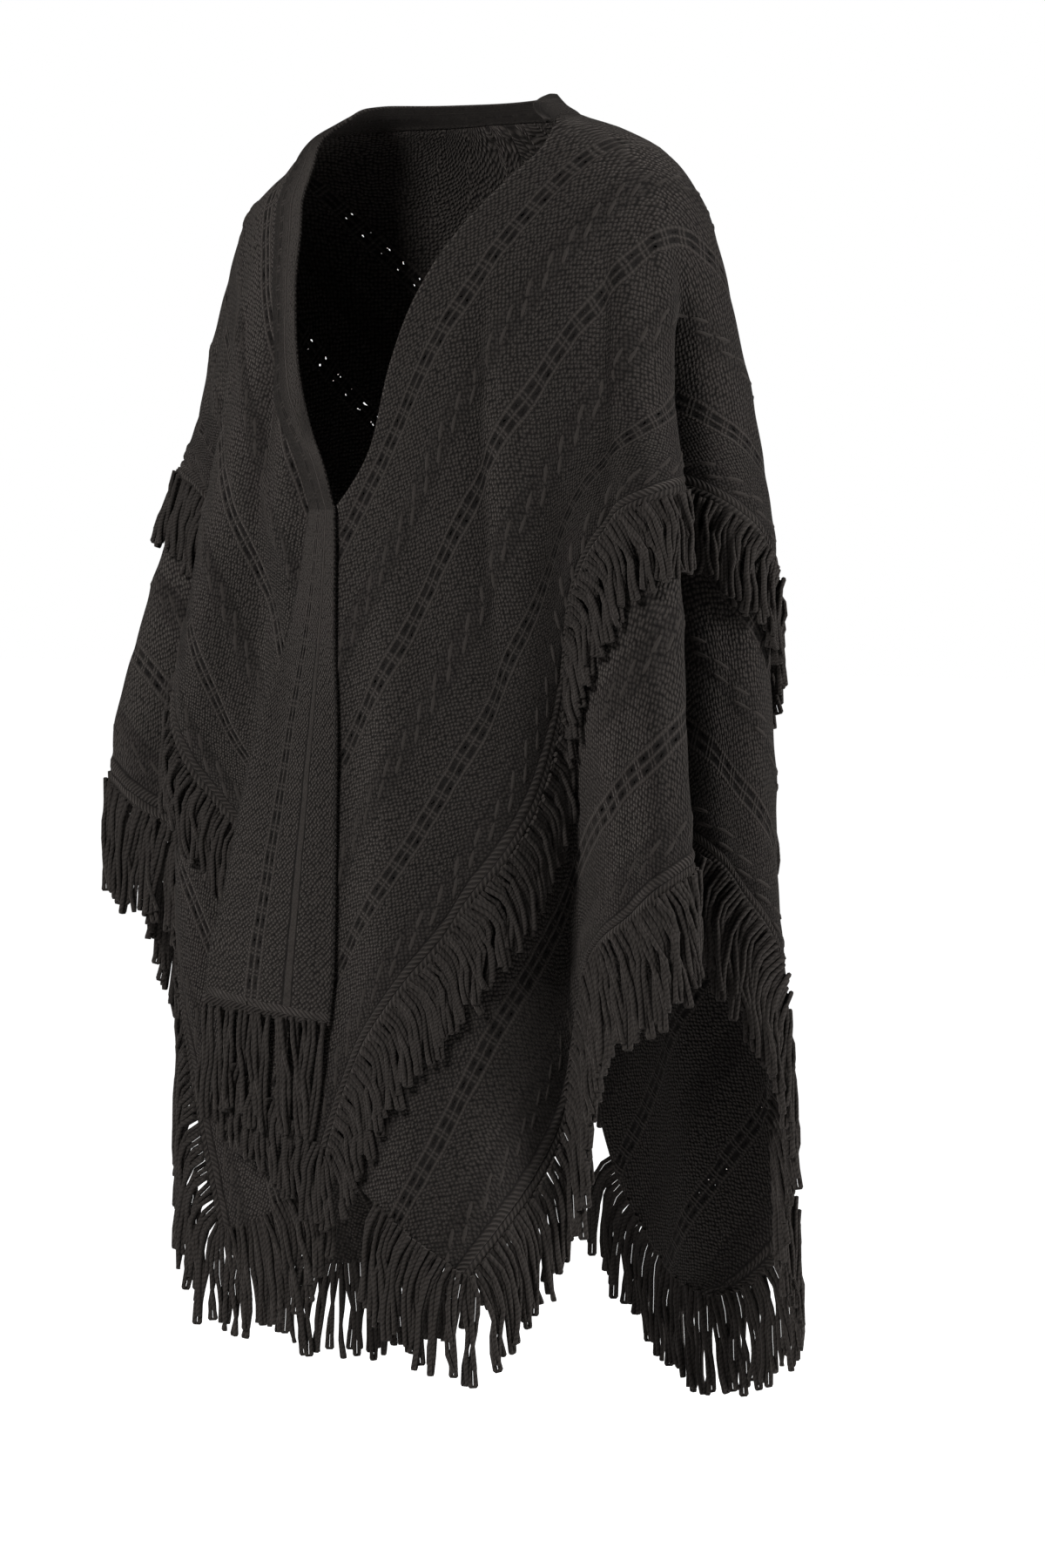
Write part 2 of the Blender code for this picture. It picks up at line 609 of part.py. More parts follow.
def collar_and_scarf(materials):
    """One strip: up from the scarf's straight end along both neck edges, over the left side."""
    lines = []
    hanging = rows_at(SCARF, np.linspace(0, 1, SCARF_COLUMNS))
    for ends in zip(*hanging.values()):
        lines.append(ends + (np.full(len(SCARF_ACROSS), SCARF_LIFT),))
    share = np.linspace(0, 1, COLUMNS)
    angle, drop = (grid[:, 0] for grid in upper_strip(RIGHT, share, (0.0,)))
    for here, low in zip(angle, drop):
        if BACK_COLLAR_TURN < here < RIGHT_COLLAR_FROM and low < RIGHT_COLLAR_LOWEST:
            lines.append(collar_line(here, low, RIGHT_COLLAR, ease(low, COLLAR_OVER_FROM, COLLAR_OVER_BY)))
    angle, drop = (grid[::-1, 0] for grid in upper_strip(LEFT, share, (0.0,)))
    for here, low in zip(angle, drop):
        if here > LEFT_COLLAR_TO:
            lines.append(collar_line(here, low, LEFT_COLLAR, 0.0))

    across = np.array(SCARF_ACROSS)
    left_angle, left_drop, right_angle, right_drop = (
        np.array([line[part] for line in lines])[:, None] for part in range(4))
    # Past the centre back, the left side's angles are taken a turn lower.
    left_angle = np.where(left_angle > 30, left_angle - 360, left_angle)
    right_angle = np.where(right_angle > 30, right_angle - 360, right_angle)
    lift = np.array([line[4] for line in lines])
    grid_angle = left_angle * (1 - across) + right_angle * across
    grid_drop = left_drop * (1 - across) + right_drop * across
    outward, _, _ = drape_frame(grid_angle, grid_drop)
    middle = drape(grid_angle, grid_drop) + outward * lift[..., None]
    rise = np.zeros(grid_angle.shape)
    rise[1, :] = BRAID_RISE
    outer = middle + outward * (CLOTH / 2 + rise)[..., None]
    inner = middle - outward * CLOTH / 2
    wall("collar_scarf", outer, inner, materials["cloth"])
    return fringe("scarf_fringe", [(grid_angle[0], grid_drop[0], lift[0])], 1,
                  lambda at_angle, at_drop: SCARF_LIFT, FRINGE_LENGTH, materials["fringe"])


def main():
    clear_scene()
    materials = {
        "cloth": wool_material("knitted_wool", WOOL, 0.95),
        "fringe": wool_material("wool_yarn", WOOL_DARK, 0.9),
    }
    total = side_panels("left", LEFT, 1, False, materials)
    total += side_panels("right", RIGHT, -1, True, materials)
    total += collar_and_scarf(materials)
    print("locks of fringe:", total)


main()
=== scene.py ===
import math

import bpy
import numpy as np
from mathutils import Matrix, Vector


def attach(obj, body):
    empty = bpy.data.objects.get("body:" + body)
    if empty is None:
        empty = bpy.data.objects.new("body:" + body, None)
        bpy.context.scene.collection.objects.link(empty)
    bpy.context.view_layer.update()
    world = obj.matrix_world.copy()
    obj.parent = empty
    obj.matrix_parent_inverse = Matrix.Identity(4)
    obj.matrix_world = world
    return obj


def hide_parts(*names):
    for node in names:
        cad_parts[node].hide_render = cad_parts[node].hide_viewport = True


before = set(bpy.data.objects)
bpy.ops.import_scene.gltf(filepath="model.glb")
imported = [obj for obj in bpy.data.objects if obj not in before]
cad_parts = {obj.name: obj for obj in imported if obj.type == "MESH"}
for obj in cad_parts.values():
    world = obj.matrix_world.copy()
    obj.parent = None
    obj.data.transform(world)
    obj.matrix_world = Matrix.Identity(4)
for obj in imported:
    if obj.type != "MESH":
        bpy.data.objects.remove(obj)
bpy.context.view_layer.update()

# Knitted two-tier poncho, as worn. Angles run round the wearer from the centre front towards the
# left, in degrees. A drop is a distance down from the neck, in metres. A lift is a distance out.

chance = np.random.default_rng(11)


def table(names, rows):
    return dict(zip(names.split(), np.array(rows, float).T))


drape = {
    "clothThick": 0.003,
    "tierStep": 0.0078,    # the upper tier lies this far outside the lower one
    "scarfLift": 0.0142,
    "seam": 0.0003,
    # level sections through the draped cloth
    "sections": table("drop left right front back", [
        (-0.030, 0.076, 0.076, 0.040, 0.050),
        (-0.010, 0.092, 0.090, 0.045, 0.058),
        (0.000, 0.112, 0.108, 0.052, 0.068),
        (0.012, 0.150, 0.132, 0.062, 0.080),
        (0.034, 0.193, 0.156, 0.076, 0.094),
        (0.070, 0.219, 0.192, 0.100, 0.110),
        (0.135, 0.241, 0.211, 0.128, 0.130),
        (0.230, 0.256, 0.234, 0.146, 0.148),
        (0.358, 0.271, 0.279, 0.155, 0.160),
        (0.508, 0.281, 0.324, 0.162, 0.172),
        (0.700, 0.297, 0.338, 0.172, 0.185),
        (1.080, 0.323, 0.352, 0.186, 0.205),
    ]),
    # hanging folds: ridges have a positive depth, troughs a negative one
    "folds": table("angle angleLow halfWidth depth fromDrop fullDrop", [
        (84, 82, 15.0, -0.044, 0.05, 0.26),
        (79, 78, 7.0, -0.036, 0.10, 0.34),
        (69, 68, 5.0, 0.008, 0.12, 0.34),
        (64, 61, 9.0, 0.020, 0.08, 0.35),
        (104, 102, 12.0, 0.009, 0.10, 0.35),
        (48, 35, 10.5, -0.064, 0.18, 0.72),
        (46, 37, 6.5, -0.026, 0.30, 0.60),
        (19, 17, 11.0, 0.010, 0.35, 0.80),
        (-48, -50, 9.5, -0.042, 0.08, 0.40),
        (-30, -30, 8.0, 0.009, 0.10, 0.40),
        (-36, -40, 16.0, -0.022, 0.52, 0.78),
        (-80, -80, 14.0, 0.012, 0.20, 0.50),
        (-112, -116, 12.0, -0.018, 0.25, 0.80),
        (120, 116, 10.0, -0.020, 0.25, 0.80),
        (136, 134, 10.0, 0.014, 0.20, 0.80),
        (155, 156, 9.0, -0.018, 0.15, 0.80),
        (-136, -138, 10.0, 0.012, 0.20, 0.80),
        (-158, -158, 9.0, -0.016, 0.15, 0.80),
    ]),
    # soft creases that come and go: from, full, fading and gone are drops
    "creases": table("angle angleLow halfWidth depth from full fading gone", [
        (27, 30, 3.2, -0.0050, 0.10, 0.20, 0.42, 0.60),
        (36, 33, 3.6, 0.0040, 0.14, 0.24, 0.38, 0.58),
        (56, 52, 3.4, -0.0050, 0.08, 0.16, 0.30, 0.46),
        (72, 69, 3.0, 0.0045, 0.06, 0.14, 0.34, 0.55),
        (13, 9, 4.0, 0.0040, 0.30, 0.42, 0.62, 0.80),
        (25, 20, 3.6, -0.0055, 0.50, 0.62, 0.86, 1.02),
        (5, 2, 4.2, -0.0035, 0.40, 0.50, 0.66, 0.84),
        (58, 54, 3.0, -0.0060, 0.42, 0.52, 0.66, 0.84),
        (71, 68, 3.0, 0.0055, 0.36, 0.48, 0.62, 0.80),
        (97, 95, 3.4, -0.0050, 0.30, 0.44, 0.66, 0.88),
        (-12, -13, 3.4, 0.0035, 0.18, 0.28, 0.46, 0.64),
        (-20, -19, 3.2, -0.0050, 0.12, 0.24, 0.50, 0.70),
        (-38, -36, 3.0, 0.0040, 0.10, 0.20, 0.34, 0.50),
        (-60, -62, 3.8, -0.0045, 0.06, 0.18, 0.36, 0.58),
        (-70, -72, 3.4, 0.0045, 0.22, 0.34, 0.50, 0.68),
        (-92, -94, 4.4, -0.0060, 0.12, 0.26, 0.46, 0.66),
        (-104, -103, 3.6, 0.0050, 0.28, 0.40, 0.62, 0.80),
        (-125, -127, 3.4, -0.0050, 0.34, 0.46, 0.70, 0.92),
        (-148, -147, 3.2, -0.0045, 0.10, 0.22, 0.44, 0.70),
        (-170, -171, 3.6, 0.0045, 0.16, 0.32, 0.56, 0.78),
        (111, 109, 3.2, 0.0045, 0.16, 0.30, 0.50, 0.72),
        (128, 127, 3.0, -0.0050, 0.30, 0.44, 0.64, 0.86),
        (146, 147, 3.2, 0.0050, 0.12, 0.26, 0.48, 0.74),
        (166, 168, 3.4, -0.0045, 0.24, 0.40, 0.62, 0.84),
    ]),
    # the right side's front ends go in under the left side's
    "tuckDepth": -0.0165,
    "tuckAngles": (-35, -23),
    "tuckDrops": (0.300, 0.400),
}


def ease(value, low, high):
    share = np.clip((value - low) / (high - low), 0, 1)
    return share * share * (3 - 2 * share)


def between(low, high, share):
    return low * (1 - share) + high * share


def cubicThrough(knots, values, tangent, at):
    # the values and their tangents run along the last axis
    step = np.diff(knots)
    index = np.clip(np.searchsorted(knots, at) - 1, 0, len(step) - 1)
    width = step[index]
    share = np.clip((at - knots[index]) / width, 0, 1)
    square, cube = share ** 2, share ** 3
    return ((2 * cube - 3 * square + 1) * values[..., index]
            + (cube - 2 * square + share) * width * tangent[..., index]
            + (3 * square - 2 * cube) * values[..., index + 1]
            + (cube - square) * width * tangent[..., index + 1])


def curveThrough(knots, values, at):
    # smooth curve through the values that never swings past them
    knots, values, at = (np.asarray(each, float) for each in (knots, values, at))
    slope = np.diff(values) / np.diff(knots)
    before, after = slope[:-1], slope[1:]
    sameWay = before * after > 0
    inner = np.where(sameWay, 2 * before * after / np.where(sameWay, before + after, 1), 0)
    return cubicThrough(knots, values, np.concatenate([slope[:1], inner, slope[-1:]]), at)


def strandCurve(shares, places, at):
    # smooth curves through the places of many strands: strand, share, xyz
    values = np.swapaxes(places, 1, 2)
    slope = np.diff(values) / np.diff(shares)
    inner = (slope[..., 1:] + slope[..., :-1]) / 2
    tangent = np.concatenate([slope[..., :1], inner, slope[..., -1:]], axis=-1)
    return np.swapaxes(cubicThrough(shares, values, tangent, at), 1, 2)


def rowsAt(columns, share):
    knots = np.linspace(0, 1, len(next(iter(columns.values()))))
    return {name: curveThrough(knots, values, share) for name, values in columns.items()}


def bell(angle, top, low, halfWidth, drop):
    centre = top + (low - top) * np.clip(drop, 0, 1)
    away = (np.mod(angle - centre + 180, 360) - 180) / halfWidth
    return np.exp(-away * away)


def foldDepth(angle, drop):
    depth = np.zeros(np.broadcast(angle, drop).shape)
    for top, low, halfWidth, rise, start, full in zip(*drape["folds"].values()):
        depth += rise * ease(drop, start, full) * bell(angle, top, low, halfWidth, drop)
    for top, low, halfWidth, rise, start, full, fading, gone in zip(*drape["creases"].values()):
        there = ease(drop, start, full) * (1 - ease(drop, fading, gone))
        depth += rise * there * bell(angle, top, low, halfWidth, drop)
    return depth


def sectionAt(drop):
    return {name: curveThrough(drape["sections"]["drop"], drape["sections"][name], drop)
            for name in ("left", "right", "front", "back")}


def formPoint(angle, drop):
    angle, drop = np.broadcast_arrays(np.asarray(angle, float), np.asarray(drop, float))
    size = sectionAt(drop)
    sine, cosine = np.sin(np.radians(angle)), np.cos(np.radians(angle))
    halfWidth = np.where(sine > 0, size["left"], size["right"])
    halfDepth = np.where(cosine > 0, size["front"], size["back"])
    outX, outY = sine / halfWidth, -cosine / halfDepth
    depth = foldDepth(angle, drop) / np.hypot(outX, outY)
    return np.stack([halfWidth * sine + depth * outX, -halfDepth * cosine + depth * outY, -drop], -1)


def unit(vectors):
    return vectors / np.linalg.norm(vectors, axis=-1, keepdims=True)


def formFrame(angle, drop):
    # outward normal, and metres for each degree and each unit of drop
    turn, fall = 0.2, 0.002
    across = (formPoint(angle + turn, drop) - formPoint(angle - turn, drop)) / (2 * turn)
    down = (formPoint(angle, drop + fall) - formPoint(angle, drop - fall)) / (2 * fall)
    return unit(np.cross(down, across)), np.linalg.norm(across, axis=-1), np.linalg.norm(down, axis=-1)


def lifted(angle, drop, lift):
    angle, drop = np.broadcast_arrays(np.asarray(angle, float), np.asarray(drop, float))
    return formPoint(angle, drop) + formFrame(angle, drop)[0] * np.broadcast_to(lift, angle.shape)[..., None]


def tuck(angle, drop):
    nearFront = ease(angle, *drape["tuckAngles"]) * (angle < 90)
    return drape["tuckDepth"] * nearFront * ease(drop, *drape["tuckDrops"])

# lines of the strips on the form, from the front end to the back seam: the neck edge, the upper
# tier's hem, the lower tier's hem, and how far the lower strip bows out half way down
backSeam = 179.94
stripNames = "neckAngle neckDrop start upperAngle upperDrop lowerAngle lowerDrop bowAngle bowDrop"
strips = {
    "left": table(stripNames, [
        (-45, 0.650, 0.55, 2, 0.828, 23.5, 0.920, 0, 0),
        (-29, 0.470, 0.36, 4, 0.792, 28, 0.885, 0, 0),
        (-15, 0.368, 0.18, 8, 0.748, 33, 0.845, 0, 0),
        (-6, 0.328, 0.04, 13.5, 0.705, 38, 0.795, 0, 0),
        (-1, 0.310, 0, 20, 0.660, 42, 0.735, 0, 0),
        (6, 0.262, 0, 27, 0.608, 46, 0.675, 0, 0),
        (9, 0.200, 0, 33, 0.555, 50.5, 0.652, 0, 0),
        (12, 0.156, 0, 38.5, 0.478, 55.5, 0.636, 0, 0),
        (18, 0.108, 0, 44.5, 0.392, 61.5, 0.612, 0, 0),
        (26, 0.070, 0, 51.5, 0.340, 67, 0.600, 0, 0),
        (37, 0.038, 0, 59, 0.314, 72, 0.594, 0, 0),
        (49, 0.018, 0, 66.5, 0.303, 76.5, 0.586, 0, 0),
        (60, 0.007, 0, 73, 0.298, 81, 0.578, 0, 0),
        (70, 0.003, 0, 79, 0.296, 86, 0.584, 0, 0),
        (80, 0.001, 0, 85, 0.296, 92, 0.606, 0, 0),
        (93, 0.000, 0, 92, 0.304, 99, 0.648, 0, 0),
        (108, -0.001, 0, 101, 0.330, 107.5, 0.722, 0, 0),
        (124, -0.002, 0, 112, 0.382, 117, 0.806, 0, 0.005),
        (139, -0.003, 0, 125, 0.468, 127.5, 0.876, 1, 0.015),
        (154, -0.003, 0, 141, 0.588, 138, 0.932, 3, 0.032),
        (167, -0.004, 0, 160, 0.704, 146, 0.962, 6.5, 0.062),
        (backSeam, -0.004, 0, backSeam, 0.790, 151, 0.970, 9.5, 0.090),
    ]),
    "right": table(stripNames, [
        (-3, 0.400, 0, -3, 0.715, -24, 0.900, 8, 0.065),
        (-4, 0.345, 0, -8.5, 0.662, -27, 0.850, 5, 0.040),
        (-5.5, 0.312, 0, -15, 0.608, -30, 0.795, 3, 0.020),
        (-9, 0.280, 0, -22, 0.566, -33.5, 0.735, 0, 0.010),
        (-14, 0.246, 0, -28.5, 0.532, -38, 0.675, 0, 0),
        (-18.5, 0.220, 0, -35, 0.480, -42.5, 0.630, 0, 0),
        (-21.5, 0.186, 0, -40.5, 0.410, -47, 0.600, 0, 0),
        (-25, 0.142, 0, -46, 0.348, -52, 0.582, 0, 0),
        (-31, 0.098, 0, -52, 0.314, -58, 0.568, 0, 0),
        (-41, 0.058, 0, -60, 0.294, -66, 0.552, 0, 0),
        (-55, 0.031, 0, -70, 0.284, -76, 0.538, 0, 0),
        (-72, 0.014, 0, -82, 0.280, -87, 0.530, 0, 0),
        (-92, 0.005, 0, -94, 0.288, -97, 0.560, 0, 0),
        (-112, 0.001, 0, -106, 0.330, -106, 0.640, 0, 0),
        (-130, -0.001, 0, -119, 0.412, -114, 0.745, 0, 0.005),
        (-147, -0.002, 0, -133, 0.520, -121, 0.850, -2, 0.015),
        (-162, -0.003, 0, -150, 0.650, -127.5, 0.925, -4.5, 0.035),
        (-173, -0.004, 0, -167, 0.748, -131.5, 0.960, -8, 0.072),
        (-backSeam, -0.004, 0, -backSeam, 0.790, -133, 0.975, -10.5, 0.100),
    ]),
}
lowerJoin = 0.76        # the lower strip is sewn on this far down the upper one
lowerEndFrom = 0.46     # from here down, the ends of a lower strip carry fringe

scarf = {
    "lines": table("leftAngle leftDrop rightAngle rightDrop", [
        (-22.5, 0.714, 1.5, 0.722),
        (-21.5, 0.670, 2.0, 0.676),
        (-19.0, 0.620, 1.8, 0.622),
        (-15.5, 0.550, 1.3, 0.552),
        (-12.0, 0.475, 1.0, 0.478),
        (-8.8, 0.415, 0.8, 0.418),
        (-7.0, 0.368, 0.5, 0.372),
        (-6.2, 0.334, 0.3, 0.340),
    ]),
    "rightCollar": table("seamAngle edgeAngle edgeDrop stand", [
        (-5.5, 0.0, 0.312, 0.0130),
        (-9.0, -3.0, 0.277, 0.0125),
        (-14.0, -7.5, 0.244, 0.0120),
        (-18.5, -10.5, 0.216, 0.0110),
        (-21.5, -13.5, 0.184, 0.0100),
        (-25.0, -17.0, 0.140, 0.0100),
        (-31.0, -22.0, 0.088, 0.0090),
        (-41.0, -31.0, 0.048, 0.0080),
        (-55.0, -46.0, 0.016, 0.0060),
        (-72.0, -66.0, -0.006, 0.0040),
        (-92.0, -91.0, -0.017, 0.0030),
        (-112.0, -113.0, -0.021, 0.0030),
        (-130.0, -132.0, -0.022, 0.0030),
        (-163.0, -165.0, -0.023, 0.0030),
        (-180.0, -180.0, -0.023, 0.0030),
    ]),
    "leftCollar": table("seamAngle edgeAngle edgeDrop stand", [
        (55.0, 53.0, 0.0095, 0.0070),
        (62.0, 59.0, 0.001, 0.0060),
        (70.0, 68.0, -0.009, 0.0050),
        (80.0, 80.0, -0.016, 0.0040),
        (93.0, 94.0, -0.020, 0.0030),
        (139.0, 141.0, -0.023, 0.0030),
        (180.0, 180.0, -0.023, 0.0030),
    ]),
    "bulgeAt": (0.0, 0.12, 0.34, 0.56, 0.78, 1.0),
    "bulge": (0.0, 0.45, 0.6, 0.57, 0.45, 0.27),   # how the collar stands out from its seam
    "lowestSeam": 0.3125,
    "overDrops": (0.24, 0.30),                     # here it rises to lie over the left side
    "rightSeam": (-179.9, -5.4),                   # the neck edges that the collar is sewn to
    "leftSeamFrom": 55,
    "hangingRows": 96,
    "edgeRows": 420,
    "acrossRows": 27,
    "areaShown": 0.060,
}

knit = {
    "width": 0.31,          # of every strip
    "column": 0.0052,       # spacing of the mesh along a strip
    "row": 0.0038,          # and across it
    "hemRow": 0.0013,       # finer in the braid along the hem
    "hemBand": 0.0145,
    "middleRow": 0.6,       # columns are spaced evenly here
    "lean": math.radians(31),    # of the bands, from plumb
    "turnAt": 80,           # past this angle they lean the other way
    "turnSoft": 0.030,
    "smoothedOver": 35,     # columns
    "fitSteps": 700,
    "hemFrom": 0.74,        # from here they are drawn in to run with the hem
    "repeat": 0.092,        # from one ladder to the next
    "firstLadder": 0.055,
    "cableAfter": 0.046,
    "bandsFrom": 0.035,
    "bandsTo": 0.2955,
    "cableRise": 0.0016,
    "cableSpread": 0.009,
    "ladderSink": 0.0009,
    "ladderSpread": 0.008,
    "braidRows": (0.0042, 0.0098),
    "braidRise": 0.0021,
    "braidSpread": 0.0022,
    "sewnTo": 0.10,         # the lower strip lies up under the upper one in this share
    "reliefFrom": 0.16,
}


def upperLines(side, share, across):
    line = rowsAt(strips[side], share[:, None])
    start = np.clip(line["start"], 0, 1)
    t = start + (1 - start) * np.asarray(across)[None, :]
    angle = between(line["neckAngle"], line["upperAngle"], t)
    return angle, between(line["neckDrop"], line["upperDrop"], t), t


def lowerLines(side, share, across):
    line = rowsAt(strips[side], share[:, None])
    topAngle, topDrop, _ = upperLines(side, share, (lowerJoin,))
    t = np.broadcast_to(np.asarray(across)[None, :], (len(share), len(across)))
    bow = 4 * t * (1 - t)
    angle = between(topAngle, line["lowerAngle"], t) + bow * line["bowAngle"]
    drop = between(topDrop, line["lowerDrop"], t) + bow * line["bowDrop"]
    return angle, drop, t


def collarLine(angle, drop, columns, over):
    order = np.argsort(columns["seamAngle"])
    edgeAngle, edgeDrop, stand = (curveThrough(columns["seamAngle"][order], columns[name][order], angle)
                                  for name in ("edgeAngle", "edgeDrop", "stand"))
    _, perDegree, perDrop = formFrame(angle, drop)
    way = unit(np.array([(edgeAngle - angle) * perDegree, (edgeDrop - drop) * perDrop]))
    step = way * drape["seam"] / (perDegree, perDrop)
    return (angle + step[0], drop + step[1], edgeAngle, edgeDrop), drape["tierStep"], stand, over


def scarfLines(across):
    # one strip: from the scarf's straight end up the right neck edge, round the back, to the left
    hanging = rowsAt(scarf["lines"], np.linspace(0, 1, scarf["hangingRows"]))
    rows = [(ends, 0, 0, 1) for ends in zip(*hanging.values())]
    share = np.linspace(0, 1, scarf["edgeRows"])
    fromBack, toFront = scarf["rightSeam"]
    angle, drop, _ = upperLines("right", share, (0.0,))
    for here, low in zip(angle[:, 0], drop[:, 0]):
        if fromBack < here < toFront and low < scarf["lowestSeam"]:
            rows.append(collarLine(here, low, scarf["rightCollar"], ease(low, *scarf["overDrops"])))
    angle, drop, _ = upperLines("left", share, (0.0,))
    for here, low in zip(angle[::-1, 0], drop[::-1, 0]):
        if here > scarf["leftSeamFrom"]:
            rows.append(collarLine(here, low, scarf["leftCollar"], 0))
    ends = np.array([row[0] for row in rows])
    base, stand, over = (np.array([row[k] for row in rows], float)[:, None] for k in (1, 2, 3))
    # angles go on past the back seam
    onLeft = ends[:, 0::2] > scarf["leftSeamFrom"] / 2
    ends[:, 0::2] = np.where(onLeft, ends[:, 0::2] - 360, ends[:, 0::2])
    lift = (base + curveThrough(scarf["bulgeAt"], scarf["bulge"], across) * stand) * (1 - over)
    return (between(ends[:, :1], ends[:, 2:3], across), between(ends[:, 1:2], ends[:, 3:], across),
            lift + drape["scarfLift"] * over)


def fromBand(across, first):
    # distance to the nearest of the bands that repeat after the first
    return np.mod(across - first + knit["repeat"] / 2, knit["repeat"]) - knit["repeat"] / 2


def bandRelief(across):
    # cables stand up, ladders sink in, and a two-row braid edges the hem
    ladder = fromBand(across, knit["firstLadder"])
    cable = fromBand(across, knit["firstLadder"] + knit["cableAfter"])
    rise = (knit["cableRise"] * np.exp(-(cable / knit["cableSpread"]) ** 2)
            - knit["ladderSink"] * np.exp(-(ladder / knit["ladderSpread"]) ** 2))
    rise = rise * (across > knit["bandsFrom"]) * (across < knit["bandsTo"])
    for row in knit["braidRows"]:
        rise = rise + knit["braidRise"] * np.exp(-((knit["width"] - across - row) / knit["braidSpread"]) ** 2)
    return rise


def roundForm(angle, drop):
    # distance round the plain form from the centre front
    size = sectionAt(drop)
    wide = np.where(angle > 0, size["left"], size["right"])
    steps = 24
    total = 0
    for k in range(steps):
        turned = np.radians(np.abs(angle) * (k + 0.5) / steps)
        deep = np.where(np.cos(turned) > 0, size["front"], size["back"])
        total = total + np.hypot(wide * np.cos(turned), deep * np.sin(turned))
    return total * np.radians(np.abs(angle)) / steps


def acrossKnit(sign, angle, drop, t, fitTo):
    # distance across the knit: straight slanting bands, each strip's set where they fit it best
    reach = roundForm(angle, drop) * np.sign(angle) * sign
    turn = roundForm(np.full(angle.shape, knit["turnAt"] * sign), drop)
    reach = turn - np.hypot(turn - reach, knit["turnSoft"])
    straight = reach * math.cos(knit["lean"]) + drop * math.sin(knit["lean"])
    offset = (straight - t * knit["width"])[:, fitTo].mean(1)
    wide = knit["smoothedOver"]
    kernel = np.ones(2 * wide + 1) / (2 * wide + 1)
    place = straight - np.convolve(np.pad(offset, wide, mode="edge"), kernel, mode="valid")[:, None]
    return place + (knit["width"] - place[:, -1:]) * ease(t, knit["hemFrom"], 1)


def slopeOn(points, values):
    # how fast values change over the surface, as vectors in it
    one, two = np.gradient(points, axis=0), np.gradient(points, axis=1)
    byOne, byTwo = np.gradient(values, axis=0), np.gradient(values, axis=1)
    a, b, c = (one * one).sum(-1), (one * two).sum(-1), (two * two).sum(-1)
    size = np.maximum(a * c - b * b, 1e-16)
    alongOne, alongTwo = (c * byOne - b * byTwo) / size, (a * byTwo - b * byOne) / size
    return one * alongOne[..., None] + two * alongTwo[..., None]


def alongKnit(points, place):
    # distance along the knit: the best fit to a slope of one, square to the bands' own
    out = np.cross(np.gradient(points, axis=0), np.gradient(points, axis=1))
    way = unit(np.cross(slopeOn(points, place), out) + 1e-12)
    wantOne = (np.diff(points, axis=0) * (way[1:] + way[:-1])).sum(-1) / 2
    wantTwo = (np.diff(points, axis=1) * (way[:, 1:] + way[:, :-1])).sum(-1) / 2
    if wantOne.sum() < 0:
        wantOne, wantTwo = -wantOne, -wantTwo

    def gathered(one, two):
        total = np.zeros(place.shape)
        total[1:] += one
        total[:-1] -= one
        total[:, 1:] += two
        total[:, :-1] -= two
        return total

    # conjugate gradients
    value = np.zeros(place.shape)
    value[1:] = np.cumsum(wantOne.mean(1))[:, None]
    left = gathered(wantOne - np.diff(value, axis=0), wantTwo - np.diff(value, axis=1))
    going, size = left, (left * left).sum()
    for _ in range(knit["fitSteps"]):
        moved = gathered(np.diff(going, axis=0), np.diff(going, axis=1))
        step = size / (going * moved).sum()
        value = value + step * going
        left = left - step * moved
        newSize = (left * left).sum()
        going, size = left + going * newSize / size, newSize
    return value - value.min()


def measured(points):
    # distance along a strip at every point, square to its length
    along = np.gradient(points, axis=0)
    way = unit(along)
    middle = points.shape[1] // 2
    steps = np.linalg.norm(np.diff(points[:, middle], axis=0), axis=-1)
    base = np.concatenate([[0], np.cumsum(steps)])
    slip = (np.diff(points, axis=1) * (way[:, 1:] + way[:, :-1]) / 2).sum(-1)
    total = np.concatenate([np.zeros((len(points), 1)), np.cumsum(slip, axis=1)], axis=1)
    return base[:, None] + total - total[:, middle:middle + 1]


def acrossRows():
    fine = np.arange(0, knit["hemBand"], knit["hemRow"])
    count = round((knit["width"] - fine[-1]) / knit["row"])
    coarse = np.linspace(0, knit["width"] - fine[-1], count)
    return np.concatenate([coarse[:-1], (knit["width"] - fine)[::-1]]) / knit["width"]


def evenShares(lines, side):
    # shares of the strip's table that set columns an even distance apart along its middle
    share = np.linspace(0, 1, 1200)
    angle, drop, _ = lines(side, share, (knit["middleRow"],))
    points = lifted(angle[:, 0], drop[:, 0], 0)
    length = np.concatenate([[0], np.cumsum(np.linalg.norm(np.diff(points, axis=0), axis=-1))])
    return np.interp(np.linspace(0, length[-1], round(length[-1] / knit["column"])), length, share)


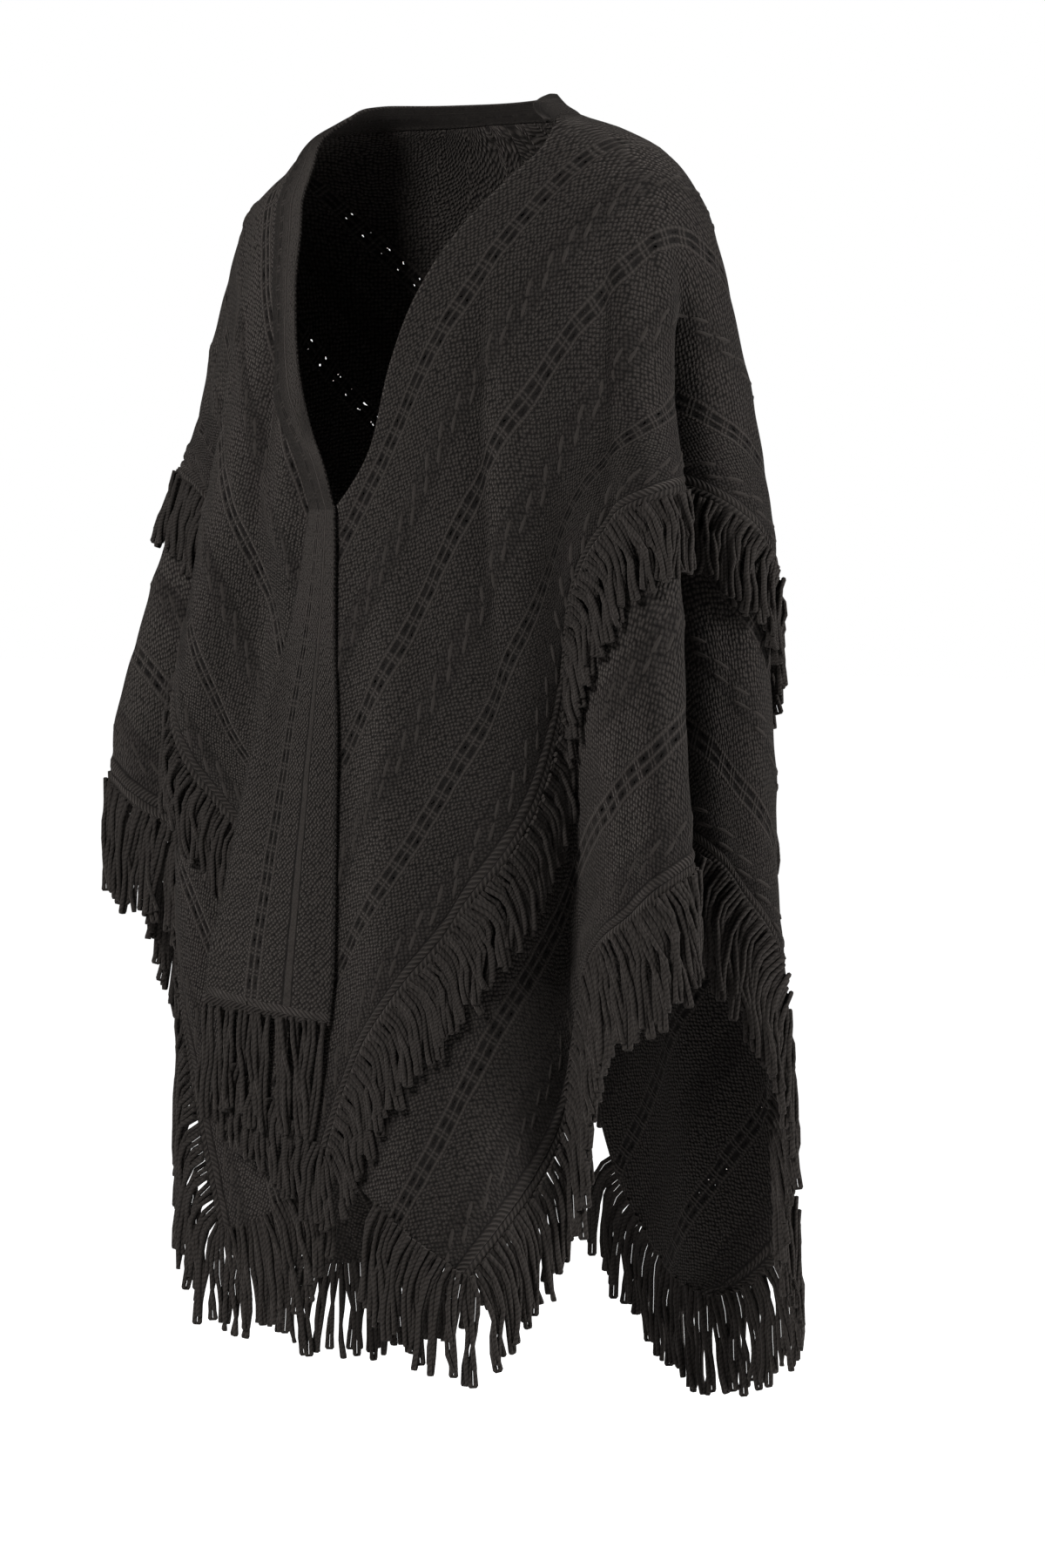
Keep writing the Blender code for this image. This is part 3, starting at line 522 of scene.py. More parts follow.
def layCloth(name, points, along, across, material):
    columns, rows = points.shape[:2]
    bpy.ops.mesh.primitive_grid_add(x_subdivisions=rows - 1, y_subdivisions=columns - 1, size=1)
    cloth = bpy.context.object
    cloth.name = cloth.data.name = name
    mesh = cloth.data
    flat = np.empty(len(mesh.vertices) * 3, np.float32)
    mesh.vertices.foreach_get("co", flat)
    flat = flat.reshape(-1, 3)
    row = np.rint((flat[:, 0] + 0.5) * (rows - 1)).astype(int)
    column = np.rint((flat[:, 1] + 0.5) * (columns - 1)).astype(int)
    mesh.vertices.foreach_set("co", points[column, row].astype(np.float32).ravel())
    corner = np.empty(len(mesh.loops), np.int32)
    mesh.loops.foreach_get("vertex_index", corner)
    uv = np.stack([along[column, row], across[column, row]], -1)[corner]
    mesh.uv_layers[0].data.foreach_set("uv", uv.astype(np.float32).ravel())
    mesh.update()
    middle = mesh.polygons[len(mesh.polygons) // 2]
    outward = Vector((middle.center.x, middle.center.y, 0))
    if middle.normal.dot(outward) < 0:
        bpy.ops.object.mode_set(mode="EDIT")
        bpy.ops.mesh.select_all(action="SELECT")
        bpy.ops.mesh.flip_normals()
        bpy.ops.object.mode_set(mode="OBJECT")
    wall = cloth.modifiers.new("wall", "SOLIDIFY")
    wall.thickness = drape["clothThick"]
    wall.offset = 0
    bpy.ops.object.modifier_apply(modifier=wall.name)
    bpy.ops.object.shade_smooth()
    cloth.data.materials.clear()
    cloth.data.materials.append(material)
    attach(cloth, "root")
    bpy.ops.object.select_all(action="DESELECT")
    return cloth


class Wire:
    # an output of a node: arithmetic with wires adds the Math nodes for it
    def __init__(self, tree, socket):
        self.tree, self.socket = tree, socket

    def __add__(self, other):
        return maths("ADD", self, other)

    def __sub__(self, other):
        return maths("SUBTRACT", self, other)

    def __rsub__(self, other):
        return maths("SUBTRACT", other, self)

    def __mul__(self, other):
        return maths("MULTIPLY", self, other)

    def __truediv__(self, other):
        return maths("DIVIDE", self, other)

    def __lt__(self, other):
        return maths("LESS_THAN", self, other)

    def __gt__(self, other):
        return maths("GREATER_THAN", self, other)

    def __abs__(self):
        return maths("ABSOLUTE", self)


def fill(tree, node, settings):
    for name, value in settings.items():
        if isinstance(value, Wire):
            tree.links.new(value.socket, node.inputs[name])
        else:
            node.inputs[name].default_value = value


def addNode(tree, kind, outputs, settings, **properties):
    # a node with its settings; the outputs asked for come back as wires
    node = tree.nodes.new(kind)
    for name, value in properties.items():
        setattr(node, name, value)
    fill(tree, node, settings)
    wires = [Wire(tree, node.outputs[name]) for name in outputs]
    return wires[0] if len(wires) == 1 else wires


def maths(operation, *values):
    tree = next(value.tree for value in values if isinstance(value, Wire))
    return addNode(tree, "ShaderNodeMath", [0], dict(enumerate(values)), operation=operation)


def smoothStep(value, low, high):
    return addNode(value.tree, "ShaderNodeMapRange", ["Result"], {
        "Value": value, "From Min": low, "From Max": high}, interpolation_type="SMOOTHSTEP")


def noise(place, scale, detail=2.0):
    return addNode(place.tree, "ShaderNodeTexNoise", ["Fac"], {
        "Vector": place, "Scale": scale, "Detail": detail})


def pairOf(first, second):
    return addNode(first.tree, "ShaderNodeCombineXYZ", ["Vector"], {"X": first, "Y": second})


def fromMiddle(value, period, middle):
    # signed distance to the nearest repeat of middle
    return maths("FLOORED_MODULO", value + (period / 2 - middle), period) - period / 2


def ripple(value, pitch, depth):
    return maths("SINE", value * (2 * math.pi / pitch)) * depth + (1 - depth)


def inside(distance, half, soft):
    return smoothStep(half - abs(distance), -soft, soft)


def groupOf(name, takes, gives):
    # an empty group, and its inputs as wires
    tree = bpy.data.node_groups.new(name, "ShaderNodeTree")
    for way, sockets in (("INPUT", takes), ("OUTPUT", gives)):
        for socket, kind in sockets.items():
            tree.interface.new_socket(name=socket, in_out=way, socket_type=f"NodeSocket{kind}")
    return tree, addNode(tree, "NodeGroupInput", takes, {})


stitches = {
    "seed": 0.0030,           # from one moss bump to the next
    "mossUneven": 0.42,
    "mossEdge": (0.05, 0.66),
    "ladderPitch": 0.0169,
    "ladderHalf": 0.0080,
    "ladderSoft": 0.0006,
    "strand": 0.0009,         # half the width of a ladder's strands
    "strandRipple": (0.0034, 0.2),       # pitch and depth
    "rungRipple": (0.0031, 0.25),
    "holeAt": 0.0032,         # each cell has an eyelet on both sides of its middle strand
    "holeHalf": 0.0013,
    "holeLength": 0.0034,
    "holeNoise": 380,         # some eyelets are drawn shut
    "holeUneven": (3.0, -0.72),
    "holeEdge": (0.36, 0.60),
    "shadeEdge": (-0.75, 0.3),
    "shade": 0.64,
    "cableHalf": 0.0105,
    "cableSoft": 0.001,
    "cableGround": 0.60,
    "braidRipple": (0.0048, 0.4),
    "braidSlant": 1.3,
    "braidSplit": 0.0006,
    "groove": 0.0136,         # the braid's inner edge, measured from the hem
    "grooveHalf": 0.0009,
    "wander": ((55, 0.004), (42, 0.003)),    # hand-knit rows wander a little: noise scale and swing
}


def mossHeight(along, across):
    # bumps on an uneven lattice, set like the black squares of a chequerboard
    fromBump = addNode(along.tree, "ShaderNodeTexVoronoi", ["Distance"], {
        "Vector": pairOf(along + across, along - across),
        "Scale": 1 / (stitches["seed"] * math.sqrt(2)),
        "Randomness": stitches["mossUneven"]}, voronoi_dimensions="2D")
    return 1 - smoothStep(fromBump, *stitches["mossEdge"])


def ladderHeight(along, fromLadder):
    # strands down the middle and both sides, rungs between the cells, an eyelet in each half cell
    pitch, strand = stitches["ladderPitch"], stitches["strand"]
    fromCell = fromMiddle(along, pitch, pitch / 2)
    toSide = abs(fromLadder) - stitches["holeAt"] * 2
    lengthwise = maths("MAXIMUM", inside(fromLadder, strand, strand), inside(toSide, strand * 1.3, strand))
    lengthwise = lengthwise * ripple(along, *stitches["strandRipple"])
    rung = inside(pitch / 2 - abs(fromCell) - strand * 2, strand, strand)
    height = maths("MAXIMUM", lengthwise, rung * ripple(fromLadder, *stitches["rungRipple"]))
    x = (abs(fromLadder) - stitches["holeAt"]) / stitches["holeHalf"]
    y = fromCell / stitches["holeLength"]
    return height, maths("SQRT", x * x + y * y)


def mossGroup():
    # moss stitch, with a ladder of eyelets let into it where the bands are
    tree, (along, across, fromLadder, bands) = groupOf(
        "moss and ladder",
        {"Along": "Float", "Across": "Float", "From Ladder": "Float", "Bands": "Float"},
        {"Height": "Float", "Moss": "Float", "Hole": "Float"})
    moss = mossHeight(along, across)
    relief, radius = ladderHeight(along, fromLadder)
    ladder = inside(fromLadder, stitches["ladderHalf"], stitches["ladderSoft"]) * bands
    most, least = stitches["holeUneven"]
    depth = noise(pairOf(along, across), stitches["holeNoise"], 1) * most + least - radius
    # the relief sinks round each eyelet: a deeper bump, and through the tone painted shade there
    relief = relief * (1 - smoothStep(depth, *stitches["shadeEdge"]) * stitches["shade"])
    addNode(tree, "NodeGroupOutput", [], {
        "Height": between(moss, relief, ladder),
        "Moss": moss,
        "Hole": smoothStep(depth, *stitches["holeEdge"]) * ladder})
    return tree


def mossAndLadder(group, along, across, fromLadder, bands):
    return addNode(along.tree, "ShaderNodeGroup", ["Height", "Moss", "Hole"], {
        "Along": along, "Across": across, "From Ladder": fromLadder, "Bands": bands}, node_tree=group)


def braidStrands(fromEdge, middle, along):
    # slanted stitches in two rows that lean opposite ways
    lean = maths("SIGN", fromEdge - middle)
    return ripple(lean * fromEdge * stitches["braidSlant"] + along, *stitches["braidRipple"])


def stripRelief(group, along, across):
    # ladders and cables in bands, then a groove and the braid along the hem
    inBands = (across > knit["bandsFrom"]) * (across < knit["bandsTo"])
    fromLadder = fromMiddle(across, knit["repeat"], knit["firstLadder"])
    height, moss, hole = mossAndLadder(group, along, across, fromLadder, inBands)
    fromCable = fromMiddle(across, knit["repeat"], knit["firstLadder"] + knit["cableAfter"])
    cables = inside(fromCable, stitches["cableHalf"], stitches["cableSoft"]) * inBands
    fromHem = knit["width"] - across
    middle = sum(knit["braidRows"]) / 2
    split = inside(fromHem - middle, stitches["braidSplit"], stitches["braidSplit"])
    strands = braidStrands(fromHem, middle, along) * (1 - split)
    groove = inside(fromHem - stitches["groove"], stitches["grooveHalf"], stitches["grooveHalf"])
    height = between(height, moss * stitches["cableGround"], cables)
    height = between(height, strands, fromHem < stitches["groove"])
    return height * (1 - groove), hole


scarfBands = {
    "width": 0.127,
    "ladderAt": 0.42,        # shares of the width
    "seamAt": 0.66,
    "ridgeTo": 0.72,
    "seamHalf": 0.0012,
    "seamSoft": 0.0010,
    "ridgeHalf": 0.0007,
    "ridgeMoss": (0.25, 0.55),
    "braidTo": 0.0125,
}


def scarfRelief(group, along, across):
    # moss with a ladder, a ridge between two lengthwise seams, and a braid along the end
    fromLadder = across - scarfBands["ladderAt"] * scarfBands["width"]
    height, moss, hole = mossAndLadder(group, along, across, fromLadder, 1.0)
    seamAt, ridgeTo = (scarfBands[name] * scarfBands["width"] for name in ("seamAt", "ridgeTo"))
    ridge = (across > seamAt) * (across < ridgeTo)
    seam = maths("MAXIMUM", inside(across - seamAt, scarfBands["seamHalf"], scarfBands["seamSoft"]),
                 inside(across - ridgeTo, scarfBands["ridgeHalf"], scarfBands["ridgeHalf"]))
    most, least = scarfBands["ridgeMoss"]
    height = between(height, moss * most + least, ridge) * (1 - seam)
    strands = braidStrands(along, scarfBands["braidTo"] / 2, across)
    return between(height, strands, along < scarfBands["braidTo"]), hole


wool = {
    # deep and top are the ends of the wool's colour ramp: the fibres' grain spreads over it, and painted
    # shade puts the hollows of the relief towards deep and its tops towards top
    "deep": (0.0018, 0.0015, 0.0014, 1),
    # mid is the dark end for the long stitches: standing on the knit, they are painted lighter, as its raised
    # tops are
    "mid": (0.0084, 0.0073, 0.0066, 1),
    "top": (0.0192, 0.0166, 0.0150, 1),
    "shader": {
        "Roughness": 0.95,
        "Specular IOR Level": 0.06,
        "Sheen Weight": 0.06,
        "Sheen Roughness": 0.45,
        "Sheen Tint": (0.52, 0.46, 0.42, 1),
    },
    "fibreScale": 1400,
    # share of the fibres in the relief and in the tone, then the bump's strength and depth
    "knit": (0.28, 0.5, 1.0, 0.0021),
    "yarn": (0.35, 0.5, 0.8, 0.0004),
    "stitch": (1.0, 1.0, 0.8, 0.0007),
    # how far the relief paints shade and light into the colour: its hollows darker, its tops lighter
    "paintedShadeOfRelief": 0.9,
    "patchScale": 160,
    "patch": (0.4, -0.12),
}


def grainGroup():
    # fine fibres in the relief and the colour of every yarn
    tree, (place, relief, tone, fuzz, share, deep, top) = groupOf(
        "wool grain",
        {"Vector": "Vector", "Relief": "Float", "Tone": "Float", "Fuzz": "Float", "Grain": "Float",
         "Deep": "Color", "Top": "Color"},
        {"Height": "Float", "Colour": "Color"})
    fibre = noise(place, wool["fibreScale"], 3)
    # colour from deep to top by the tone, which holds the pattern's painted shade and light, and by the
    # fibres' grain
    colour = addNode(tree, "ShaderNodeMix", ["Result"], {
        "Factor": (fibre - 0.5) * share + tone, "A": deep, "B": top}, data_type="RGBA")
    addNode(tree, "NodeGroupOutput", [], {"Height": fibre * fuzz + relief, "Colour": colour})
    return tree


def axesOf(uv):
    return addNode(uv.tree, "ShaderNodeSeparateXYZ", ["X", "Y"], {"Vector": uv})


def knitPattern(place, uv, reliefOf, group):
    # UV: x is the length along the knit, y the distance across it
    swings = [noise(place, scale) * swing - swing / 2 for scale, swing in stitches["wander"]]
    along, across = (axis + swing for axis, swing in zip(axesOf(uv), swings))
    height, hole = reliefOf(group, along, across)
    most, least = wool["patch"]
    # the tone is painted shade and light, darker in the hollows of the relief and lighter on its tops, plus
    # patches that differ at random
    tone = height * wool["paintedShadeOfRelief"] + (noise(place, wool["patchScale"]) * most + least)
    return height, tone, {"Alpha": hole < 0.5}


yarn = {
    "radius": 0.0021,
    "legApart": 0.0022,       # half the distance between the two legs of a loop
    "length": 0.088,
    "legPlaces": 7,
    "tipPlaces": 5,
    "plyPitch": 0.0085,
}


def yarnPattern(place, uv):
    # UV: x goes once round the yarn, y is the length along it
    around, along = axesOf(uv)
    plies = abs(maths("SINE", (along / yarn["plyPitch"] + around) * (2 * math.pi)))
    # the grooves between the plies are painted darker: painted shade
    return plies, plies * 0.5 + 0.25, {}


def plainPattern(place, uv):
    return 0.0, 0.5, {}


def woolMaterial(name, finish, deep, group, patternOf, *more):
    # the pattern gives the relief, the tone from deep to top (with any painted shade and light from the
    # relief), and what else the shader takes
    material = bpy.data.materials.new(name)
    material.use_nodes = True
    tree = material.node_tree
    place, uv = addNode(tree, "ShaderNodeTexCoord", ["Object", "UV"], {})
    relief, tone, others = patternOf(place, uv, *more)
    fuzz, share, strength, distance = wool[finish]
    height, colour = addNode(tree, "ShaderNodeGroup", ["Height", "Colour"], {
        "Vector": place, "Relief": relief, "Tone": tone, "Fuzz": fuzz, "Grain": share,
        "Deep": deep, "Top": wool["top"]}, node_tree=group)
    normal = addNode(tree, "ShaderNodeBump", ["Normal"], {
        "Height": height, "Strength": strength, "Distance": distance})
    shader = tree.nodes["Principled BSDF"]
    fill(tree, shader, {**wool["shader"], **others, "Base Color": colour, "Normal": normal})
    return material


# fringe: one loop of yarn is modelled once, then copied down each hem
fringe = {
    "pitch": 0.0050,
    "scarfPitch": 0.0092,
    "lengths": {"Upper": 0.060, "Lower": 0.084, "scarf": 0.088},
    "steepSpread": 0.12,      # the strands are this much wider apart where the edge is steep
    "smoothedOver": 5,
    # down a strand: shares of its length, and how much of each keeps the way square to the edge
    "sections": ((0.10, 0.85), (0.16, 0.55), (0.22, 0.25), (0.26, 0.08), (0.26, 0.04)),
    "mostLean": math.radians(66),
    "apart": 0.0036,          # least distance between two tips
    "passes": 40,
    "pushShare": 0.35,
    "tuckedIn": 0.003,        # the loops come out from under the braid
    "layers": (0.0006, 0.0044, 0.0022),      # and lie in layers
    "layersClose": 0.3,
    # each strand has its own cut, sway, wave and twist
    "cut": (0.90, 1.06),
    "sway": 0.07,
    "swayWays": (1, 0.3),
    "sideWave": 0.0012,
    "outWave": 0.0010,
    "twist": (-0.6, 0.6),     # half turns
    "turns": (0.3, 1.6),
    "bends": 40,
}


def loopTemplate():
    # a hanging loop of yarn: down one leg, round the tip and up the other
    half, length = yarn["legApart"], yarn["length"]
    legs = np.linspace(0, length - half, yarn["legPlaces"])
    turn = np.linspace(0, math.pi, yarn["tipPlaces"])[1:-1]
    path = [(-half, 0, -z) for z in legs]
    path += [(-half * math.cos(a), 0, -(length - half) - half * math.sin(a)) for a in turn]
    path += [(half, 0, -z) for z in legs[::-1]]
    line = bpy.data.curves.new("yarn loop", "CURVE")
    line.dimensions = "3D"
    spline = line.splines.new("POLY")
    spline.points.add(len(path) - 1)
    for point, place in zip(spline.points, path):
        point.co = (*place, 1)
    line.bevel_depth = yarn["radius"]
    line.bevel_resolution = 1
    line.use_fill_caps = True
    loop = bpy.data.objects.new("yarn loop", line)
    bpy.context.collection.objects.link(loop)
    bpy.context.view_layer.objects.active = loop
    loop.select_set(True)
    bpy.ops.object.convert(target="MESH")
    loop = bpy.context.object
    points = np.array([vertex.co for vertex in loop.data.vertices])
    faces = [tuple(face.vertices) for face in loop.data.polygons]
    bpy.data.objects.remove(loop, do_unlink=True)
    side = np.sign(points[:, 0])
    around = np.arctan2(points[:, 1], points[:, 0] - side * half) / (2 * math.pi)
    return points, faces, around


def hemEdge(angle, drop, lift, frontFrom, backFrom):
    # the edge that carries fringe: up the front end, along the hem and up the back end
    parts = [(angle[:, -1], drop[:, -1], lift[:, -1])]
    if frontFrom is not None:
        parts.insert(0, tuple(grid[0, frontFrom:-1] for grid in (angle, drop, lift)))
    if backFrom is not None:
        parts.append(tuple(grid[-1, backFrom:-1][::-1] for grid in (angle, drop, lift)))
    return tuple(np.concatenate([part[k] for part in parts]) for k in range(3))


def smoothWays(ways, reach):
    kernel = np.concatenate([np.arange(1, reach + 1), np.arange(reach, 0, -1)[1:]]).astype(float)
    half = len(kernel) // 2
    padded = np.pad(ways, ((half, half), (0, 0)), mode="edge")
    return unit(np.stack([np.convolve(padded[:, k], kernel, mode="valid") for k in range(2)], -1))


def walk(roots, away, push, lengths):
    # places down each strand: it leaves the edge squarely, then falls
    angle, drop = roots
    places = [roots]
    for share, keep in fringe["sections"]:
        way = unit(away * keep + np.array([0.0, 1.0]) * (1 - keep) + push)
        turn = away[:, 0] * way[:, 1] - away[:, 1] * way[:, 0]
        lean = np.clip(np.arctan2(turn, (away * way).sum(1)), -fringe["mostLean"], fringe["mostLean"])
        cosine, sine = np.cos(lean), np.sin(lean)
        way = np.stack([away[:, 0] * cosine - away[:, 1] * sine, away[:, 0] * sine + away[:, 1] * cosine], -1)
        _, perDegree, perDrop = formFrame(angle, drop)
        angle = angle + way[:, 0] * lengths * share / perDegree
        drop = drop + way[:, 1] * lengths * share / perDrop
        places.append((angle, drop))
    return places, way


def strandRoots(edge, side, pitch):
    # where the strands leave the edge, and which way
    angle, drop, lift = edge
    points = lifted(angle, drop, lift)
    steps = np.linalg.norm(np.diff(points, axis=0), axis=1)
    steep = np.abs(np.diff(points[:, 2])) / steps
    along = np.concatenate([[0], np.cumsum(steps)])
    weighted = np.concatenate([[0], np.cumsum(steps * (1 - fringe["steepSpread"] * steep ** 2))])
    count = round(weighted[-1] / pitch)
    at = np.interp((np.arange(count) + 0.5) / count * weighted[-1], weighted, along)
    angle, drop = np.interp(at, along, angle), np.interp(at, along, drop)
    _, perDegree, perDrop = formFrame(angle, drop)
    run, fall = np.gradient(angle, at) * perDegree, np.gradient(drop, at) * perDrop
    return (angle, drop), smoothWays(unit(np.stack([-side * fall, side * run], -1)), fringe["smoothedOver"])


def pushedApart(roots, away, side, length):
    # small turns that keep the tips of neighbouring strands apart
    _, perDegree, perDrop = formFrame(*roots)
    push = np.zeros(away.shape)
    for _ in range(fringe["passes"]):
        places, way = walk(roots, away, push, np.full(len(away), length))
        step = np.stack([np.diff(places[-1][0]) * perDegree[1:], np.diff(places[-1][1]) * perDrop[1:]], -1)
        meanWay = unit(way[1:] + way[:-1])
        across = np.stack([meanWay[:, 1], -meanWay[:, 0]], -1) * side
        short = np.clip(fringe["apart"] - (step * across).sum(1), 0, None)
        turn = across * short[:, None] * fringe["pushShare"] / length
        push[:-1] -= turn
        push[1:] += turn
    return push


def strandLines(roots, away, push, length, liftAt):
    # centre lines of the strands, and the way out from the cloth at each of their places
    count = len(away)
    lengths = length * chance.uniform(*fringe["cut"], count)
    push = push + chance.normal(0, fringe["sway"], away.shape) * fringe["swayWays"]
    places, _ = walk(roots, away, push, lengths)
    shares = np.concatenate([[0], np.cumsum([share for share, _ in fringe["sections"]])])
    grown = np.minimum(1, shares * 3)
    sideWave = chance.normal(0, fringe["sideWave"], (count, len(shares))) * grown
    outWave = chance.normal(0, fringe["outWave"], (count, len(shares))) * grown
    layer = np.array(fringe["layers"])[np.arange(count) % len(fringe["layers"])]
    centre = np.empty((count, len(shares), 3))
    out = np.empty_like(centre)
    for k, (angle, drop) in enumerate(places):
        angle = angle + sideWave[:, k] / formFrame(angle, drop)[1]
        out[:, k] = formFrame(angle, drop)[0]
        lift = liftAt(angle, drop) + layer * (1 - fringe["layersClose"] * shares[k]) + outWave[:, k]
        centre[:, k] = formPoint(angle, drop) + out[:, k] * lift[:, None]
    centre[:, 0] -= unit(centre[:, 1] - centre[:, 0]) * fringe["tuckedIn"]
    return shares, centre, out


def bentLoops(shape, shares, centre, out):
    # a copy of the loop bent and twisted along each line
    twist = chance.uniform(*fringe["twist"], len(centre)) * math.pi
    turns = chance.uniform(*fringe["turns"], len(centre)) * math.pi
    bends = fringe["bends"]
    line, out = (strandCurve(shares, each, np.linspace(0, 1, bends + 1)) for each in (centre, out))
    tangent = unit(np.gradient(line, axis=1))
    sideways = unit(np.cross(tangent, out))
    out = np.cross(sideways, tangent)
    down = np.clip(-shape[:, 2] / yarn["length"], 0, 1)
    low = np.clip(np.floor(down * bends).astype(int), 0, bends - 1)
    mix = (down * bends - low)[None, :, None]
    line, sideways, out = (between(grid[:, low], grid[:, low + 1], mix) for grid in (line, sideways, out))
    phase = twist[:, None] + turns[:, None] * down
    x = shape[:, 0] * np.cos(phase) - shape[:, 1] * np.sin(phase)
    y = shape[:, 0] * np.sin(phase) + shape[:, 1] * np.cos(phase)
    return line + sideways * x[..., None] + out * y[..., None]


def joinCopies(name, copies, faces, material):
    # one mesh from copies of a template: copies holds the points of each
    mesh = bpy.data.meshes.new(name)
    starts = range(0, copies.shape[0] * copies.shape[1], copies.shape[1])
    every = [tuple(start + corner for corner in face) for start in starts for face in faces]
    mesh.from_pydata(copies.reshape(-1, 3).tolist(), [], every)
    mesh.materials.append(material)
    mesh.shade_smooth()
    item = bpy.data.objects.new(name, mesh)
    bpy.context.collection.objects.link(item)
    print(f"{name}: {len(copies)} copies, {len(every)} faces")
    return item


def hangFringe(name, edge, side, liftAt, pitch, length, template, material):
    roots, away = strandRoots(edge, side, pitch)
    push = pushedApart(roots, away, side, length)
    shape, faces, around = template
    copies = bentLoops(shape, *strandLines(roots, away, push, length, liftAt))
    item = joinCopies(name, copies, faces, material)
    corner = np.empty(len(item.data.loops), np.int32)
    item.data.loops.foreach_get("vertex_index", corner)
    uv = np.stack([np.tile(around, len(copies)), np.tile(-shape[:, 2], len(copies))], -1)[corner]
    item.data.uv_layers.new(name="UVMap").data.foreach_set("uv", uv.astype(np.float32).ravel())
    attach(item, "root")
    return item


# long slanted stitches of the cables: one is modelled, then copied along each band
cable = {
    "length": 0.0185,
    "thick": 0.0040,
    "blunt": 0.8,             # its ends are blunter than an ellipsoid's
    "flat": 0.9,
    "slant": math.radians(-21),
    "step": 0.0268,
    "halves": ((-0.0074, 0.0031), (0.0074, -0.0031)),
    "height": 0.0004,
    "uneven": 0.0006,
    "endGap": 0.012,
    "edgeGap": 0.010,
}


def stitchTemplate():
    bpy.ops.mesh.primitive_uv_sphere_add(segments=6, ring_count=6, radius=0.5)
    stitch = bpy.context.object
    points = np.array([vertex.co for vertex in stitch.data.vertices])
    faces = [tuple(face.vertices) for face in stitch.data.polygons]
    bpy.data.objects.remove(stitch, do_unlink=True)
    long = points[:, 2] * 2
    points = np.stack([np.sign(long) * np.abs(long) ** cable["blunt"] * cable["length"] / 2,
                       points[:, 0] * cable["thick"], points[:, 1] * cable["thick"] * cable["flat"]], -1)
    return points, faces


def layCables(name, points, normals, across, template, material):
    shape, faces = template
    cosine, sine = math.cos(cable["slant"]), math.sin(cable["slant"])
    slanted = shape[:, :2] @ np.array([[cosine, sine], [-sine, cosine]])
    sideways = unit(slopeOn(points, across) + 1e-12)
    rows = np.arange(across.shape[1])
    copies = []
    centre = knit["firstLadder"] + knit["cableAfter"]
    while centre < knit["bandsTo"]:
        there = np.flatnonzero((across[:, 0] < centre - cable["edgeGap"]) & (across[:, -1] > centre))
        row = np.array([np.interp(centre, across[k], rows) for k in there])
        low = np.clip(np.floor(row).astype(int), 0, len(rows) - 2)
        mix = (row - low)[:, None]
        line, out, side = (between(grid[there, low], grid[there, low + 1], mix)
                           for grid in (points, normals, sideways))
        length = np.concatenate([[0], np.cumsum(np.linalg.norm(np.diff(line, axis=0), axis=1))])

        def at(values, where):
            return np.stack([np.interp(where, length, values[:, k]) for k in range(3)], -1)

        for shift, offset in cable["halves"]:
            places = np.arange(cable["endGap"], length[-1] - cable["endGap"], cable["step"]) + shift
            places = places + chance.normal(0, cable["uneven"], len(places))
            where = places[:, None] + slanted[:, 0]
            beside = (offset + slanted[:, 1])[None, :, None]
            height = (cable["height"] + shape[:, 2])[None, :, None]
            copies.append(at(line, where) + at(side, where) * beside + at(out, where) * height)
        centre += knit["repeat"]
    item = joinCopies(name, np.concatenate(copies), faces, material)
    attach(item, "root")
    return item


moss, grain = mossGroup(), grainGroup()
knitWool = woolMaterial("knitted wool", "knit", wool["deep"], grain, knitPattern, stripRelief, moss)
scarfWool = woolMaterial("knitted scarf wool", "knit", wool["deep"], grain, knitPattern, scarfRelief, moss)
fringeWool = woolMaterial("fringe yarn", "yarn", wool["deep"], grain, yarnPattern)
# the long stitches start at mid: painted light, as on the knit's raised tops
stitchWool = woolMaterial("long stitches", "stitch", wool["mid"], grain, plainPattern)
print("wool dyed")
loop = loopTemplate()
stitch = stitchTemplate()
rowShares = acrossRows()


def layStrip(side, sign, tier, grid, place, relief, edge, liftAt):
    # the cloth of one strip, its cables and the fringe on its edge
    name, node = f"{side}{tier}", f"{side}_{tier.lower()}"
    angle, drop, lift = grid
    normals = formFrame(angle, drop)[0]
    bare = lifted(angle, drop, lift)
    points = bare + normals * relief[..., None]
    cloth = layCloth(f"{name}Knit", points, alongKnit(bare, place), place, knitWool)
    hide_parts(f"{node}_strip")
    cables = layCables(f"{name}Cables", points, normals, place, stitch, stitchWool)
    length = fringe["lengths"][tier]
    tassels = hangFringe(f"{name}Fringe", edge, sign, liftAt, fringe["pitch"], length, loop, fringeWool)
    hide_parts(f"{node}_fringe")
    return cloth


def makeSide(side, sign):
    isRight = side == "right"

    def lowerLift(angle, drop):
        return tuck(angle, drop) if isRight else 0 * angle

    def upperLift(angle, drop):
        return drape["tierStep"] + lowerLift(angle, drop)

    angle, drop, t = upperLines(side, evenShares(upperLines, side), rowShares)
    grid = (angle, drop, upperLift(angle, drop))
    place = acrossKnit(sign, angle, drop, t, slice(None))
    edge = hemEdge(*grid, None if isRight else 0, None)
    upper = layStrip(side, sign, "Upper", grid, place, bandRelief(place), edge, upperLift)

    share = evenShares(lowerLines, side)
    angle, drop, t = lowerLines(side, share, rowShares)
    join = upperLift(*upperLines(side, share, (lowerJoin,))[:2]) - drape["clothThick"] - drape["seam"]
    under = np.clip(1 - t / knit["sewnTo"], 0, 1)
    grid = (angle, drop, between(lowerLift(angle, drop), join, under))
    place = acrossKnit(sign, angle, drop, t, slice(-1, None))
    relief = bandRelief(place) * (t > knit["reliefFrom"])
    endRow = int(np.searchsorted(rowShares, lowerEndFrom))
    layStrip(side, sign, "Lower", grid, place, relief, hemEdge(*grid, endRow, endRow), lowerLift)


makeSide("left", 1)
makeSide("right", -1)

